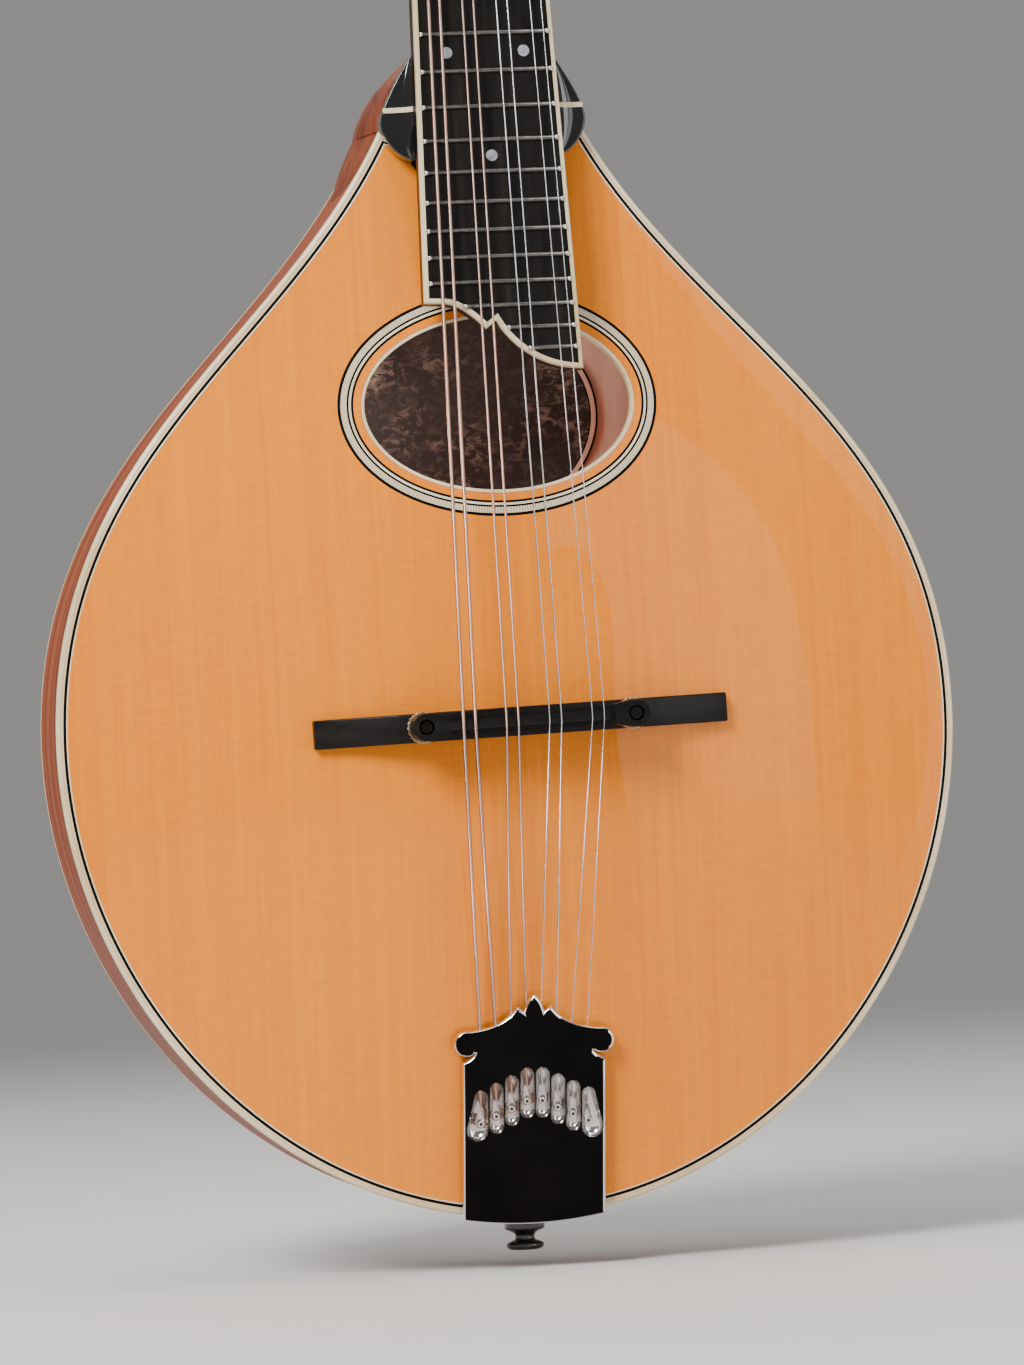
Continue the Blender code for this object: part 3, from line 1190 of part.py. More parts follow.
def string_route(index, frames, outline):
    """World points of one string, each with its radius, from its loop to its post."""
    radius = STRING_RADII[index]
    wire = min(radius, WIRE_RADIUS)
    tail, neck, head = frames["tail"], frames["neck"], frames["head"]
    x, z = peg_places()[index]
    loop_radius = PEG_RADIUS + GAP + wire
    depth = -(1.1 * MM + GAP + wire)
    route = [(tail @ Vector((x - 0.6 * MM, depth, z + 2.6 * MM)), wire)]
    for degrees in range(150, 391, 48):
        angle = math.radians(degrees)
        point = Vector((x + loop_radius * math.cos(angle), depth, z + loop_radius * math.sin(angle)))
        route.append((tail @ point, wire))
    inside = -(0.5 * MM + max(radius, 0.35 * MM))
    route.append((tail @ Vector((x + 0.2 * MM, depth, z + 4.5 * MM)), wire))
    route.append((tail @ Vector((x, inside, z + SCOOP_ABOVE)), radius))
    leave = Vector((x, inside, front_edge(x, outline) + 1.0 * MM))
    route.append((tail @ leave, radius))

    spread = string_spread(COURSE_AT_SADDLE, PAIR_AT_SADDLE)[index]
    saddle_x = BRIDGE_X + spread
    saddle_along = BRIDGE_ALONG + spread * math.sin(BRIDGE_SLANT)
    saddle_out = string_out_at_saddle() + radius
    route.append((place(saddle_x, saddle_along - CROWN_WIDTH / 2, saddle_out), radius))
    route.append((place(saddle_x, saddle_along + CROWN_WIDTH / 2, saddle_out), radius))

    nut_x = string_spread(COURSE_AT_NUT, PAIR_AT_NUT)[index]
    nut_y = -(FRET_HEIGHT + ACTION_AT_NUT + radius)
    route.append((neck @ Vector((nut_x, nut_y, 0.0)), radius))
    nut_end = neck @ Vector((nut_x, nut_y + 0.1 * MM, NUT_THICKNESS + 2 * GAP))
    route.append((nut_end, radius))

    side = -1 if index < 4 else 1
    order = (0, 1, 2, 3, 3, 2, 1, 0)[index]
    centre = Vector((side * POST_X, 0, post_heights()[order]))
    turns = winding(centre, side, head.inverted() @ nut_end, radius)
    route += [(head @ point, radius) for point in turns]
    return route, least_gap(turns, radius)


def make_strings(frames, materials):
    outline = tailpiece_outline()
    names = ("g_outer", "g_inner", "d_outer", "d_inner", "a_inner", "a_outer", "e_inner", "e_outer")
    gaps = []
    for index, label in enumerate(names):
        route, gap = string_route(index, frames, outline)
        gaps.append(gap)
        curve = bpy.data.curves.new("string_" + label, "CURVE")
        curve.dimensions = "3D"
        curve.bevel_depth = STRING_RADII[index]
        curve.bevel_resolution = 1
        curve.use_fill_caps = True
        spline = curve.splines.new("POLY")
        spline.points.add(len(route) - 1)
        for point, (position, radius) in zip(spline.points, route):
            point.co = (*position, 1.0)
            point.radius = radius / STRING_RADII[index]
        string = bpy.data.objects.new("string_" + label, curve)
        link(string, materials["bronze" if index < 4 else "plain_steel"])
    print("least gap between a string's turns: %.2f mm" % (min(gaps) / MM))


def main():
    global PARTS, CUTTERS
    clear_scene()
    PARTS = new_collection("a_style_mandolin")
    CUTTERS = new_collection("cutters")
    materials = make_materials()
    frames = frame_matrices()
    neck_frame = new_frame("neck_frame", frames["neck"])
    head_frame = new_frame("head_frame", frames["head"])
    bridge_frame = new_frame("bridge_frame", frames["bridge"])
    tail_frame = new_frame("tail_frame", frames["tail"])
    make_top(materials)
    make_back(materials)
    make_shell(materials)
    make_blocks(materials)
    make_brace(materials)
    make_neck(frames, materials)
    make_fingerboard(neck_frame, materials)
    make_nut(neck_frame, materials)
    make_riser(materials)
    make_caps(frames, materials)
    make_truss_rod(neck_frame, materials)
    make_head_front(head_frame, materials)
    make_tuner_plates(head_frame, materials)
    make_tuners(head_frame, materials)
    make_bridge(bridge_frame, materials)
    make_tailpiece(frames, tail_frame, materials)
    make_end_pin(materials)
    make_strings(frames, materials)


main()
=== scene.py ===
"""A-style mandolin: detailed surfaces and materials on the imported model, a pale studio and its camera.

Shapes are written in millimetres. On the body a place is (x, along, out): x towards the treble
side, along up the neck from the saddle, out from the face's edge. The neck, headstock, bridge and
tailpiece have frames of their own, with y pointing into the instrument.
"""
import math

import bmesh
import bpy
import numpy as np
from mathutils import Matrix, Vector
from mathutils.geometry import tessellate_polygon


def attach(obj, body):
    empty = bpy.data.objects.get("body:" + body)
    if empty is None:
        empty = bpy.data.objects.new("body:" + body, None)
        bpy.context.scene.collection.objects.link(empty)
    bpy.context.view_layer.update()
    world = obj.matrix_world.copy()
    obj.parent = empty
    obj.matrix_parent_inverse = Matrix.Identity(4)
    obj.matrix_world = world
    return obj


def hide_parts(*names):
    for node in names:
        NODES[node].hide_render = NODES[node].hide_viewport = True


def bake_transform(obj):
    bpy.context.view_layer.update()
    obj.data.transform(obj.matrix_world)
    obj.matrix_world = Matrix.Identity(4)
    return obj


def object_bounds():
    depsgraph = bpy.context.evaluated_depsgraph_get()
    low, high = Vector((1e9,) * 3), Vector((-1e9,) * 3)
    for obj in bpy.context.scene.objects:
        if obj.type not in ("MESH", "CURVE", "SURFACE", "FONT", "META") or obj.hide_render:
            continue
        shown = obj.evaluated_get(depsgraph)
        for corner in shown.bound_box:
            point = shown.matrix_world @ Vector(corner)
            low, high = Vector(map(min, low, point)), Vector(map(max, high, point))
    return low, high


MM = 0.001
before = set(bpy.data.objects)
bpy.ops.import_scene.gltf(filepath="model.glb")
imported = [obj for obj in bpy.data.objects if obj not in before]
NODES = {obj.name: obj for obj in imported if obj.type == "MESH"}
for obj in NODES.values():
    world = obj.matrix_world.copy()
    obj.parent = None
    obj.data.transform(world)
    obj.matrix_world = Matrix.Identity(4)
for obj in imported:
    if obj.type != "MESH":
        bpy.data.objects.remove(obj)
CAD_BOX = [list(corner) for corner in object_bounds()]

# The part's own sizes
SCALE, NECK_ANGLE, HEAD_PITCH = 353.5, math.radians(5.0), math.radians(14.0)
NUT_Z, NUT_ALONG = -10.3, SCALE * math.cos(NECK_ANGLE)
FACE_Y, SADDLE_Z = -16.8, NUT_Z - NUT_ALONG
BODY_HALF, WIDEST, TAIL = 126.2, -4.9, -140.5
JOINT = (28.5, 161.8)
TAIL_PULL, LOWER_PULL, UPPER_PULL, SHOULDER_PULL = 67.6, 72.5, 82.4, (58.0, 104.3)
TAIL_RADIUS = 1.5 * TAIL_PULL ** 2 / (WIDEST - LOWER_PULL - TAIL)
RIM_DEPTH, TOP_RISE, BACK_RISE, ARCH_POWER, PLATE = 42.0, 15.5, 14.0, 1.3, 3.4
HOLE_ALONG, HOLE_HALF = 84.8, (37.4, 24.1)
LABEL_ALONG, LABEL_HALF = 83.4, (37.5, 30.4)
FRET_OUT_AT_NUT, FRET_HEIGHT, BOARD_THICKNESS = 0.2, 1.0, 6.0
BOARD_HALF_AT_NUT, BOARD_FLARE, BOARD_BINDING = 15.2, 0.0252, 1.25
BRIDGE_X, BRIDGE_ALONG, BRIDGE_SLANT = 0.8, -3.2, math.radians(1.2)
TAILPIECE_X, TAILPIECE_TILT, TAILPIECE_TWIST = -0.6, math.radians(9.0), math.radians(1.2)
STRINGS = ("g_outer", "g_inner", "d_outer", "d_inner", "a_inner", "a_outer", "e_inner", "e_outer")
STRING_RADII = (0.5, 0.5, 0.33, 0.33, 0.2, 0.2, 0.15, 0.15)
SIDES = ((-1, "bass"), (1, "treble"))
POST_X, POSTS = 17.0, [40.0 + 23.0 * i for i in range(4)]
GEAR_Y, WORM_DROP = 18.4, 6.6
PEGS = [((i - 3.5) * 4.3, 33.4 - 2.0 * (abs(i - 3.5) - 0.5)) for i in range(8)]

# Sizes of the detailed surfaces
EDGE_INSET = 2.0
CAP_OUT, CAP_FOOT, CAP_TIP, CAP_LINE = 6.4, 153.2, 181.0, 166.7
CAP_CORNER = (28.75, 163.0)
HEEL_CHEEK, HEEL_LENGTH = 18, 39.0
# Above the body joint: height, half width, depth, fullness of the section
HEEL = ((0.0, 28.3, 42.4, 9.0), (5.0, 28.2, 42.2, 8.5), (9.0, 26.6, 41.2, 8.0), (13.0, 24.2, 39.0, 6.8),
        (17.0, 21.1, 35.5, 4.8), (19.5, 19.1, 32.5, 3.3), (22.0, 17.2, 28.5, 2.4),
        (25.0, 16.0, 24.0, 2.1), (29.0, 15.2, 19.0, 2.0), (39.0, 14.0, 8.0, 2.0))
# Height over the body joint, and how far the heel swells sideways there
HEEL_SWELL = ((-18.0, 0.0), (-13.0, 1.5), (-8.0, 2.8), (-4.0, 3.2), (0.0, 3.2), (3.0, 2.4), (6.0, 1.6),
              (9.0, 1.4), (13.0, 1.2), (17.0, 0.8), (21.5, 0.2), (29.0, 0.0), (39.0, 0.0))
# Place across the tail, and how far down the rim the strap reaches there
STRAP = ((17.5, 5.0), (15.5, 5.8), (13.5, 7.0), (12.0, 8.0), (10.5, 9.6), (9.4, 12.2), (8.5, 16.0),
         (7.9, 20.5), (7.4, 24.5), (6.6, 27.4), (5.2, 29.0), (3.5, 29.7), (1.8, 29.95), (0.0, 30.0))
# Each length of a string: its end that stays still, its end at the saddle
SPLIT_Z, STRING_LENGTHS = -369.0, (("speaking", NUT_Z, -364.0), ("tail", -450.0, -366.4))

# Studio, in metres and watts
FLOOR_REACH, FLOOR_DROP, FADE_START = 1.9, 0.004, 0.35
LIGHT_AIM = Vector((0, 0, -0.36))
LIGHTS = (("key", (-1.0, -1.25, 0.85), (0.6, 0.8), 57.0), ("fill", (1.5, -1.3, 0.05), (0.9, 1.3), 12.0),
          ("top", (0.1, -0.2, 1.5), (1.6, 1.0), 14.0), ("back", (0.2, 1.7, 0.9), (1.2, 0.9), 9.0),
          ("oval", (0.635, -1.24, -0.36), (0.39, 0.96), 1.6),
          ("inner_glow", (-0.066, 0.002, -0.27), (0.03, 0.03), 0.1))
WORLD_COLOUR, WORLD_STRENGTH = (0.95, 0.93, 0.9, 1), 0.3
CAMERA_PLACE, LENS, SENSOR, CLIP_START = (-0.312146, -1.803799, -0.376064), 172.68, 36, 0.05
CAMERA_TURN = ((0.98382911, 0.04759002, -0.17267157), (-0.17188295, -0.02022418, -0.98490976),
               (-0.05036401, 0.99866219, -0.01171722))


def at(x, along, out):
    return Vector((x, FACE_Y - out, SADDLE_Z + along)) * MM


def frames():
    nut_out = FRET_OUT_AT_NUT - FRET_HEIGHT / math.cos(NECK_ANGLE)
    neck = Matrix.Translation(at(0, NUT_ALONG, nut_out)) @ Matrix.Rotation(-NECK_ANGLE, 4, "X")
    start = Matrix.Translation(Vector((0, BOARD_THICKNESS + 0.3, 5.6)) * MM)
    head = neck @ start @ Matrix.Rotation(-HEAD_PITCH, 4, "X")
    bridge = Matrix.Translation(at(BRIDGE_X, BRIDGE_ALONG, 0)) @ Matrix.Rotation(-BRIDGE_SLANT, 4, "Y")
    tail = Matrix.Translation(at(TAILPIECE_X, TAIL, 1.0)) @ Matrix.Rotation(TAILPIECE_TWIST, 4, "Y")
    return neck, head, bridge, tail @ Matrix.Rotation(TAILPIECE_TILT, 4, "X")


NECK, HEAD, BRIDGE, TAILPIECE = frames()


def local(matrix, x, y, z):
    return matrix @ (Vector((x, y, z)) * MM)


def placed(matrix, outline, y):
    """An outline in a frame's (x, z), at a depth."""
    return [local(matrix, x, y, z) for x, z in outline]


# Curves in the plane

def between(a, b, share):
    return tuple(p + (q - p) * share for p, q in zip(a, b))


def bezier(p0, p1, p2, p3, steps):
    """Points from p0 up to but not including p3."""
    points = []
    for i in range(steps):
        t = i / steps
        s = 1 - t
        weights = (s ** 3, 3 * s * s * t, 3 * s * t * t, t ** 3)
        points.append(tuple(sum(w * p[k] for w, p in zip(weights, (p0, p1, p2, p3))) for k in (0, 1)))
    return points


def arc(centre, radius, start, end, steps):
    angles = [math.radians(start + (end - start) * i / steps) for i in range(steps + 1)]
    return [(centre[0] + radius * math.cos(a), centre[1] + radius * math.sin(a)) for a in angles]


def circle(centre, radius, steps=36):
    return arc(centre, radius, 0, 360, steps)[:-1]


def offset(points, distance, longest=2.5):
    """The closed outline moved inwards (it runs anticlockwise), its corners kept together."""
    if not distance:
        return points
    count, moved = len(points), []
    for i in range(count):
        before, here, after = (Vector(points[(i + k) % count]) for k in (-1, 0, 1))
        a, b = (here - before).normalized(), (after - here).normalized()
        na, nb = Vector((-a.y, a.x)), Vector((-b.y, b.x))
        corner = (na + nb) / max(0.15, 1 + na.dot(nb))
        if corner.length > longest:
            corner.length = longest
        moved.append(tuple(here + corner * distance))
    return moved


def anticlockwise(points):
    area = sum(a[0] * b[1] - b[0] * a[1] for a, b in zip(points, points[1:] + points[:1]))
    return points if area > 0 else list(reversed(points))


def rounding(wide, deep, steps):
    """Pairs (inset, fall) of an edge rounded from its side to its face."""
    return [(wide * (1 - math.cos(t)), deep * (1 - math.sin(t)))
            for t in (math.pi / 2 * k / steps for k in range(steps + 1))]


# Meshes

class Shape:
    """Vertices in metres, and faces with a material number and, where given, UV places."""

    def __init__(self):
        self.points, self.faces, self.numbers, self.uvs = [], [], [], []

    def add(self, points):
        first = len(self.points)
        self.points += [tuple(p) for p in points]
        return list(range(first, first + len(points)))

    def face(self, indices, number=0, uv=None):
        self.faces.append(indices)
        self.numbers.append(number)
        self.uvs.append(uv or [(0.0, 0.0)] * len(indices))

    def grid(self, rows, loop=False, numbers=None, uv=None):
        """Quads between closed rows of points. loop joins the last row to the first."""
        ids = [self.add(row) for row in rows]
        count = len(rows[0])
        for j in range(len(rows) - (0 if loop else 1)):
            lower, upper = ids[j], ids[(j + 1) % len(rows)]
            for i in range(count):
                k = (i + 1) % count
                places = [uv(i, j), uv(i + 1, j), uv(i + 1, j + 1), uv(i, j + 1)] if uv else None
                self.face([lower[i], lower[k], upper[k], upper[i]], numbers[j] if numbers else 0, places)
        return ids

    def cap(self, ids, number=0, holes=()):
        """Flat or nearly flat faces over a closed row, around any holes."""
        loops = [ids] + list(holes)
        corners = [[Vector(self.points[i]) for i in loop] for loop in loops]
        flat = [i for loop in loops for i in loop]
        for tri in tessellate_polygon(corners):
            self.face([flat[i] for i in tri], number)

    def fan(self, ids, point, number=0):
        """Faces from a closed row to one point."""
        tip = self.add([point])[0]
        for here, after in zip(ids, ids[1:] + ids[:1]):
            self.face([here, after, tip], number)

    def build(self, name, materials, slot, node=None, smooth=35.0, body="instrument"):
        """The piece, with the materials of these keys in the order of the faces' numbers."""
        mesh = bpy.data.meshes.new(name)
        mesh.from_pydata(self.points, [], self.faces)
        for key in materials.split():
            mesh.materials.append(M[key])
        layer = mesh.uv_layers.new(name="UVMap")
        for polygon, number, places in zip(mesh.polygons, self.numbers, self.uvs):
            polygon.material_index = number
            for loop_index, place in zip(polygon.loop_indices, places):
                layer.data[loop_index].uv = place
        settle(mesh, node, smooth, body)


def settle(mesh, node, smooth, body):
    """Links a piece, turns its faces outwards, smooths it and puts it on its body."""
    obj = bpy.data.objects.new(mesh.name, mesh)
    bpy.context.scene.collection.objects.link(obj)
    bm = bmesh.new()
    bm.from_mesh(mesh)
    bmesh.ops.remove_doubles(bm, verts=bm.verts, dist=1e-7)
    bmesh.ops.recalc_face_normals(bm, faces=bm.faces)
    for face in bm.faces:
        face.smooth = True
    bm.to_mesh(mesh)
    bm.free()
    mesh.set_sharp_from_angle(angle=math.radians(smooth))
    if body:
        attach(obj, body)
    if node:
        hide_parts(node)
    return obj


def refined(node, material, slot, body="instrument", bevel=0.0, smooth=40.0, segments=2, part="detail",
            keep=None):
    """A smooth copy of a CAD node, with softened edges where a bevel is given, standing for that node.

    keep says by a face's middle whether it stays; the openings that this leaves are closed.
    """
    mesh = NODES[node].data.copy()
    mesh.name = node + "_" + part
    mesh.materials.clear()
    mesh.materials.append(M[material])
    bm = bmesh.new()
    bm.from_mesh(mesh)
    bmesh.ops.remove_doubles(bm, verts=bm.verts, dist=2e-6)
    bmesh.ops.dissolve_limit(bm, angle_limit=math.radians(1.5), verts=bm.verts, edges=bm.edges)
    if keep:
        other = [f for f in bm.faces if not keep(f.calc_center_median())]
        bmesh.ops.delete(bm, geom=other, context="FACES")
        bmesh.ops.holes_fill(bm, edges=[e for e in bm.edges if e.is_boundary], sides=0)
    for face in bm.faces:
        face.material_index = 0
    bm.to_mesh(mesh)
    bm.free()
    obj = settle(mesh, node, smooth, body)
    if bevel:
        modifier = obj.modifiers.new("softened", "BEVEL")
        modifier.width = bevel * MM
        modifier.segments = segments
        modifier.limit_method = "ANGLE"
        modifier.angle_limit = math.radians(32)
        modifier.harden_normals = True
    return obj


def skin(rows, *looks, loop=False, numbers=None, uv=None, **settings):
    """A skin over rows of points that run in a loop, or else with capped ends."""
    shape = Shape()
    ids = shape.grid(rows, loop, numbers, uv)
    if not loop:
        shape.cap(ids[0])
        shape.cap(ids[-1])
    shape.build(*looks, **settings)


# Materials

def linear(*rgb):
    return tuple((c / 255 / 12.92) if c <= 10 else ((c / 255 + 0.055) / 1.055) ** 2.4 for c in rgb)


def rgba(value):
    """A colour from one grey share, from linear shares or from whole display values up to 255."""
    if isinstance(value, float):
        return (value, value, value, 1)
    return (*(linear(*value) if isinstance(value[0], int) else value), 1)


class Paint:
    """A principled material whose nodes are added one at a time."""

    def __init__(self, name, **sockets):
        self.material = bpy.data.materials.new(name)
        self.material.use_nodes = True
        self.tree = self.material.node_tree
        self.shader = self.tree.nodes["Principled BSDF"]
        for key, value in sockets.items():
            socket = self.shader.inputs[key.replace("_", " ").title().replace("Ior", "IOR")]
            socket.default_value = value

    def node(self, kind, inputs=None, **settings):
        node = self.tree.nodes.new("ShaderNode" + kind)
        for key, value in settings.items():
            setattr(node, key, value)
        for key, value in (inputs or {}).items():
            if isinstance(value, bpy.types.NodeSocket):
                self.tree.links.new(value, node.inputs[key])
            else:
                node.inputs[key].default_value = value
        return node

    def coords(self, scale=1, kind="Object", rotation=(0, 0, 0)):
        """The piece's own places, times one scale or one for each axis."""
        mapping = {"Vector": self.node("TexCoord").outputs[kind], "Rotation": rotation,
                   "Scale": scale if isinstance(scale, tuple) else (scale,) * 3}
        return self.node("Mapping", mapping).outputs["Vector"]

    def noise(self, scale, detail=3, roughness=0.5, distortion=0.0, **place):
        texture = {"Vector": self.coords(scale, **place), "Scale": 1.0, "Detail": detail,
                   "Roughness": roughness, "Distortion": distortion}
        return self.node("TexNoise", texture).outputs["Fac"]

    def ramp(self, value, *stops):
        node = self.node("ValToRGB", {"Fac": value})
        elements = node.color_ramp.elements
        while len(elements) < len(stops):
            elements.new(0.5)
        for element, (place, colour) in zip(elements, stops):
            element.position = place
            element.color = rgba(colour)
        return node.outputs["Color"]

    def tone(self, value, low, high):
        return self.ramp(value, (0.3, low), (0.7, high))

    def mix(self, factor, a, b):
        node = self.node("Mix", {0: factor}, data_type="RGBA", blend_type="MIX")
        for index, value in ((6, a), (7, b)):
            if isinstance(value, bpy.types.NodeSocket):
                self.tree.links.new(value, node.inputs[index])
            else:
                node.inputs[index].default_value = rgba(value)
        return node.outputs[2]

    def bump(self, height, strength, distance):
        node = self.node("Bump", {"Height": height, "Strength": strength, "Distance": distance * MM})
        self.tree.links.new(node.outputs["Normal"], self.shader.inputs["Normal"])

    def done(self, colour, roughness=None):
        """The material, with its colour and roughness led to the shader."""
        self.tree.links.new(colour, self.shader.inputs["Base Color"])
        if roughness:
            self.tree.links.new(roughness, self.shader.inputs["Roughness"])
        return self.material


def spruce():
    p = Paint("spruce_top", specular_ior_level=0.08, coat_weight=0.5, coat_roughness=0.02)
    broad = p.noise((9, 9, 3))
    rings = p.noise((520, 30, 1.6), 1.5, distortion=0.05)
    fine = p.noise((2100, 60, 46), 2)
    silk = p.noise((150, 60, 1900), 3, 0.62)
    rays = p.noise((190, 60, 1500), 3, 0.7, rotation=(0, 0.03, 0))
    colour = p.ramp(rings, (0.3, (222, 114, 2)), (0.5, (236, 130, 4)), (0.7, (247, 146, 10)))
    colour = p.mix(0.4, colour, p.tone(fine, (208, 104, 2), (246, 148, 24)))
    colour = p.mix(0.35, colour, p.ramp(silk, (0.32, (212, 106, 2)), (0.68, (246, 148, 24))))
    colour = p.mix(p.ramp(rays, (0.64, 0.0), (0.76, 0.4)), colour, (190, 88, 4))
    colour = p.mix(0.35, colour, p.tone(broad, (220, 112, 4), (244, 144, 18)))
    p.bump(p.mix(0.5, p.ramp(fine, (0.3, 0.0), (0.6, 1.0)), p.tone(silk, 0.0, 1.0)), 0.1, 0.04)
    return p.done(colour, p.ramp(p.noise(60, 4), (0.3, 0.4), (0.75, 0.5)))


def side_wood(name, kind, scale, dark, middle, light):
    """Red-brown hardwood with its grain along the axis of the smallest scale."""
    p = Paint(name, roughness=0.55, specular_ior_level=0.12, coat_weight=0.06, coat_roughness=0.2)
    streaks = p.noise(scale, 5, 0.62, 0.5, kind=kind)
    pores = p.noise(tuple(s * 7 for s in scale), 3, 0.7, kind=kind)
    colour = p.ramp(streaks, (0.28, dark), (0.5, middle), (0.74, light))
    shade = tuple(c * 0.45 for c in linear(*dark))
    p.bump(pores, 0.12, 0.05)
    return p.done(p.mix(p.ramp(pores, (0.56, 0.0), (0.7, 0.45)), colour, shade))


def inside_wood():
    p = Paint("inside_wood", roughness=0.7)
    streaks = p.noise((300, 40, 9), 5, 0.6)
    p.bump(streaks, 0.3, 0.08)
    return p.done(p.tone(streaks, (206, 176, 162), (232, 206, 192)))


def cream(name="cream_binding", tint=(1.0, 1.0, 1.0)):
    p = Paint(name, coat_weight=0.4, coat_roughness=0.12, subsurface_weight=0.12, subsurface_scale=0.001)
    low, high = (tuple(a * b for a, b in zip(linear(*shade), tint))
                 for shade in ((206, 186, 140), (232, 218, 182)))
    return p.done(p.ramp(p.noise(28, 4), (0.32, low), (0.66, high)), p.tone(p.noise(240), 0.22, 0.36))


def plain(name, low, high, rough=(0.25, 0.4), metallic=0.0, scale=60, coat=0.0, wear=0.15, shine=0.5):
    p = Paint(name, metallic=metallic, coat_weight=coat, coat_roughness=0.08, specular_ior_level=shine)
    grain = p.noise(scale, 5, 0.6)
    p.bump(p.noise(scale * 9), wear, 0.02)
    return p.done(p.tone(grain, low, high), p.ramp(grain, (0.3, rough[0]), (0.72, rough[1])))


def ebony(name, scale):
    p = Paint(name, specular_ior_level=0.16)
    grain = p.noise(scale, 5, 0.62)
    p.bump(p.noise(tuple(s * 5 for s in scale), 2), 0.22, 0.05)
    colour = p.ramp(grain, (0.32, (12, 11, 10)), (0.62, (24, 21, 19)), (0.84, (46, 35, 28)))
    return p.done(colour, p.tone(grain, 0.3, 0.46))


def brushed(name, low, high, rough, scale):
    p = Paint(name, metallic=1.0)
    marks = p.noise(scale, 3, 0.6)
    return p.done(p.tone(marks, low, high), p.tone(marks, *rough))


def wound():
    p = Paint("bronze_wound", metallic=1.0, roughness=0.3)
    turns = p.node("TexWave", {"Vector": p.coords(), "Scale": 1150.0, "Distortion": 0.0},
                   bands_direction="Z").outputs["Fac"]
    # The dark bands between the turns are painted shade in the winding's grooves.
    colour = p.mix(p.ramp(turns, (0.1, 0.0), (0.7, 1.0)), (112, 84, 74), (230, 190, 172))
    p.bump(turns, 0.6, 0.05)
    return p.done(p.mix(0.25, colour, p.tone(p.noise(90), (170, 132, 116), (238, 206, 192))))


def ticked():
    """Cream strip with fine lines across it; u runs round the ring in metres."""
    p = Paint("ticked_strip", roughness=0.4, specular_ior_level=0.3)
    across = p.node("TexWave", {"Vector": p.coords(kind="UV"), "Scale": 520.0, "Distortion": 0.5,
                                "Detail": 1.0}, bands_direction="X").outputs["Fac"]
    return p.done(p.ramp(across, (0.1, (160, 138, 108)), (0.4, (212, 196, 164)), (0.9, (222, 208, 178))))


def label_paper():
    """A dark sheet of soft cloudy shapes."""
    p = Paint("label_paper", roughness=0.62)
    clouds = p.noise((300, 200, 420), 5, 0.68, 0.9, rotation=(0, 0.4, 0))
    strokes = p.noise((420, 400, 1300), 4, 0.66, rotation=(0, -0.5, 0))
    paper = p.tone(p.noise(60), (118, 104, 94), (156, 141, 128))
    ink = (26, 21, 20)
    colour = p.mix(p.ramp(clouds, (0.48, 1.0), (0.58, 0.0)), paper, ink)
    colour = p.mix(p.ramp(strokes, (0.52, 0.0), (0.6, 0.75)), colour, ink)
    return p.done(p.mix(p.ramp(p.noise((46, 46, 70)), (0.44, 0.9), (0.66, 0.0)), colour, (30, 25, 24)))


def floor_paint():
    """Pale and matt, thinning out to nothing towards the floor's edge."""
    p = Paint("studio_floor", roughness=0.85, specular_ior_level=0.2)
    flat = p.node("VectorMath", {0: p.coords(), 1: (1, 1, 0)}, operation="MULTIPLY").outputs["Vector"]
    away = p.node("VectorMath", {0: flat}, operation="LENGTH").outputs["Value"]
    fade = p.node("MapRange", {"Value": away, "From Min": FADE_START, "From Max": FLOOR_REACH - 0.05,
                               "To Min": 1.0, "To Max": 0.0}, interpolation_type="SMOOTHSTEP")
    p.tree.links.new(fade.outputs["Result"], p.shader.inputs["Alpha"])
    return p.done(p.ramp(p.noise(2.5), (0.35, (0.68, 0.67, 0.66)), (0.65, (0.72, 0.71, 0.7))))


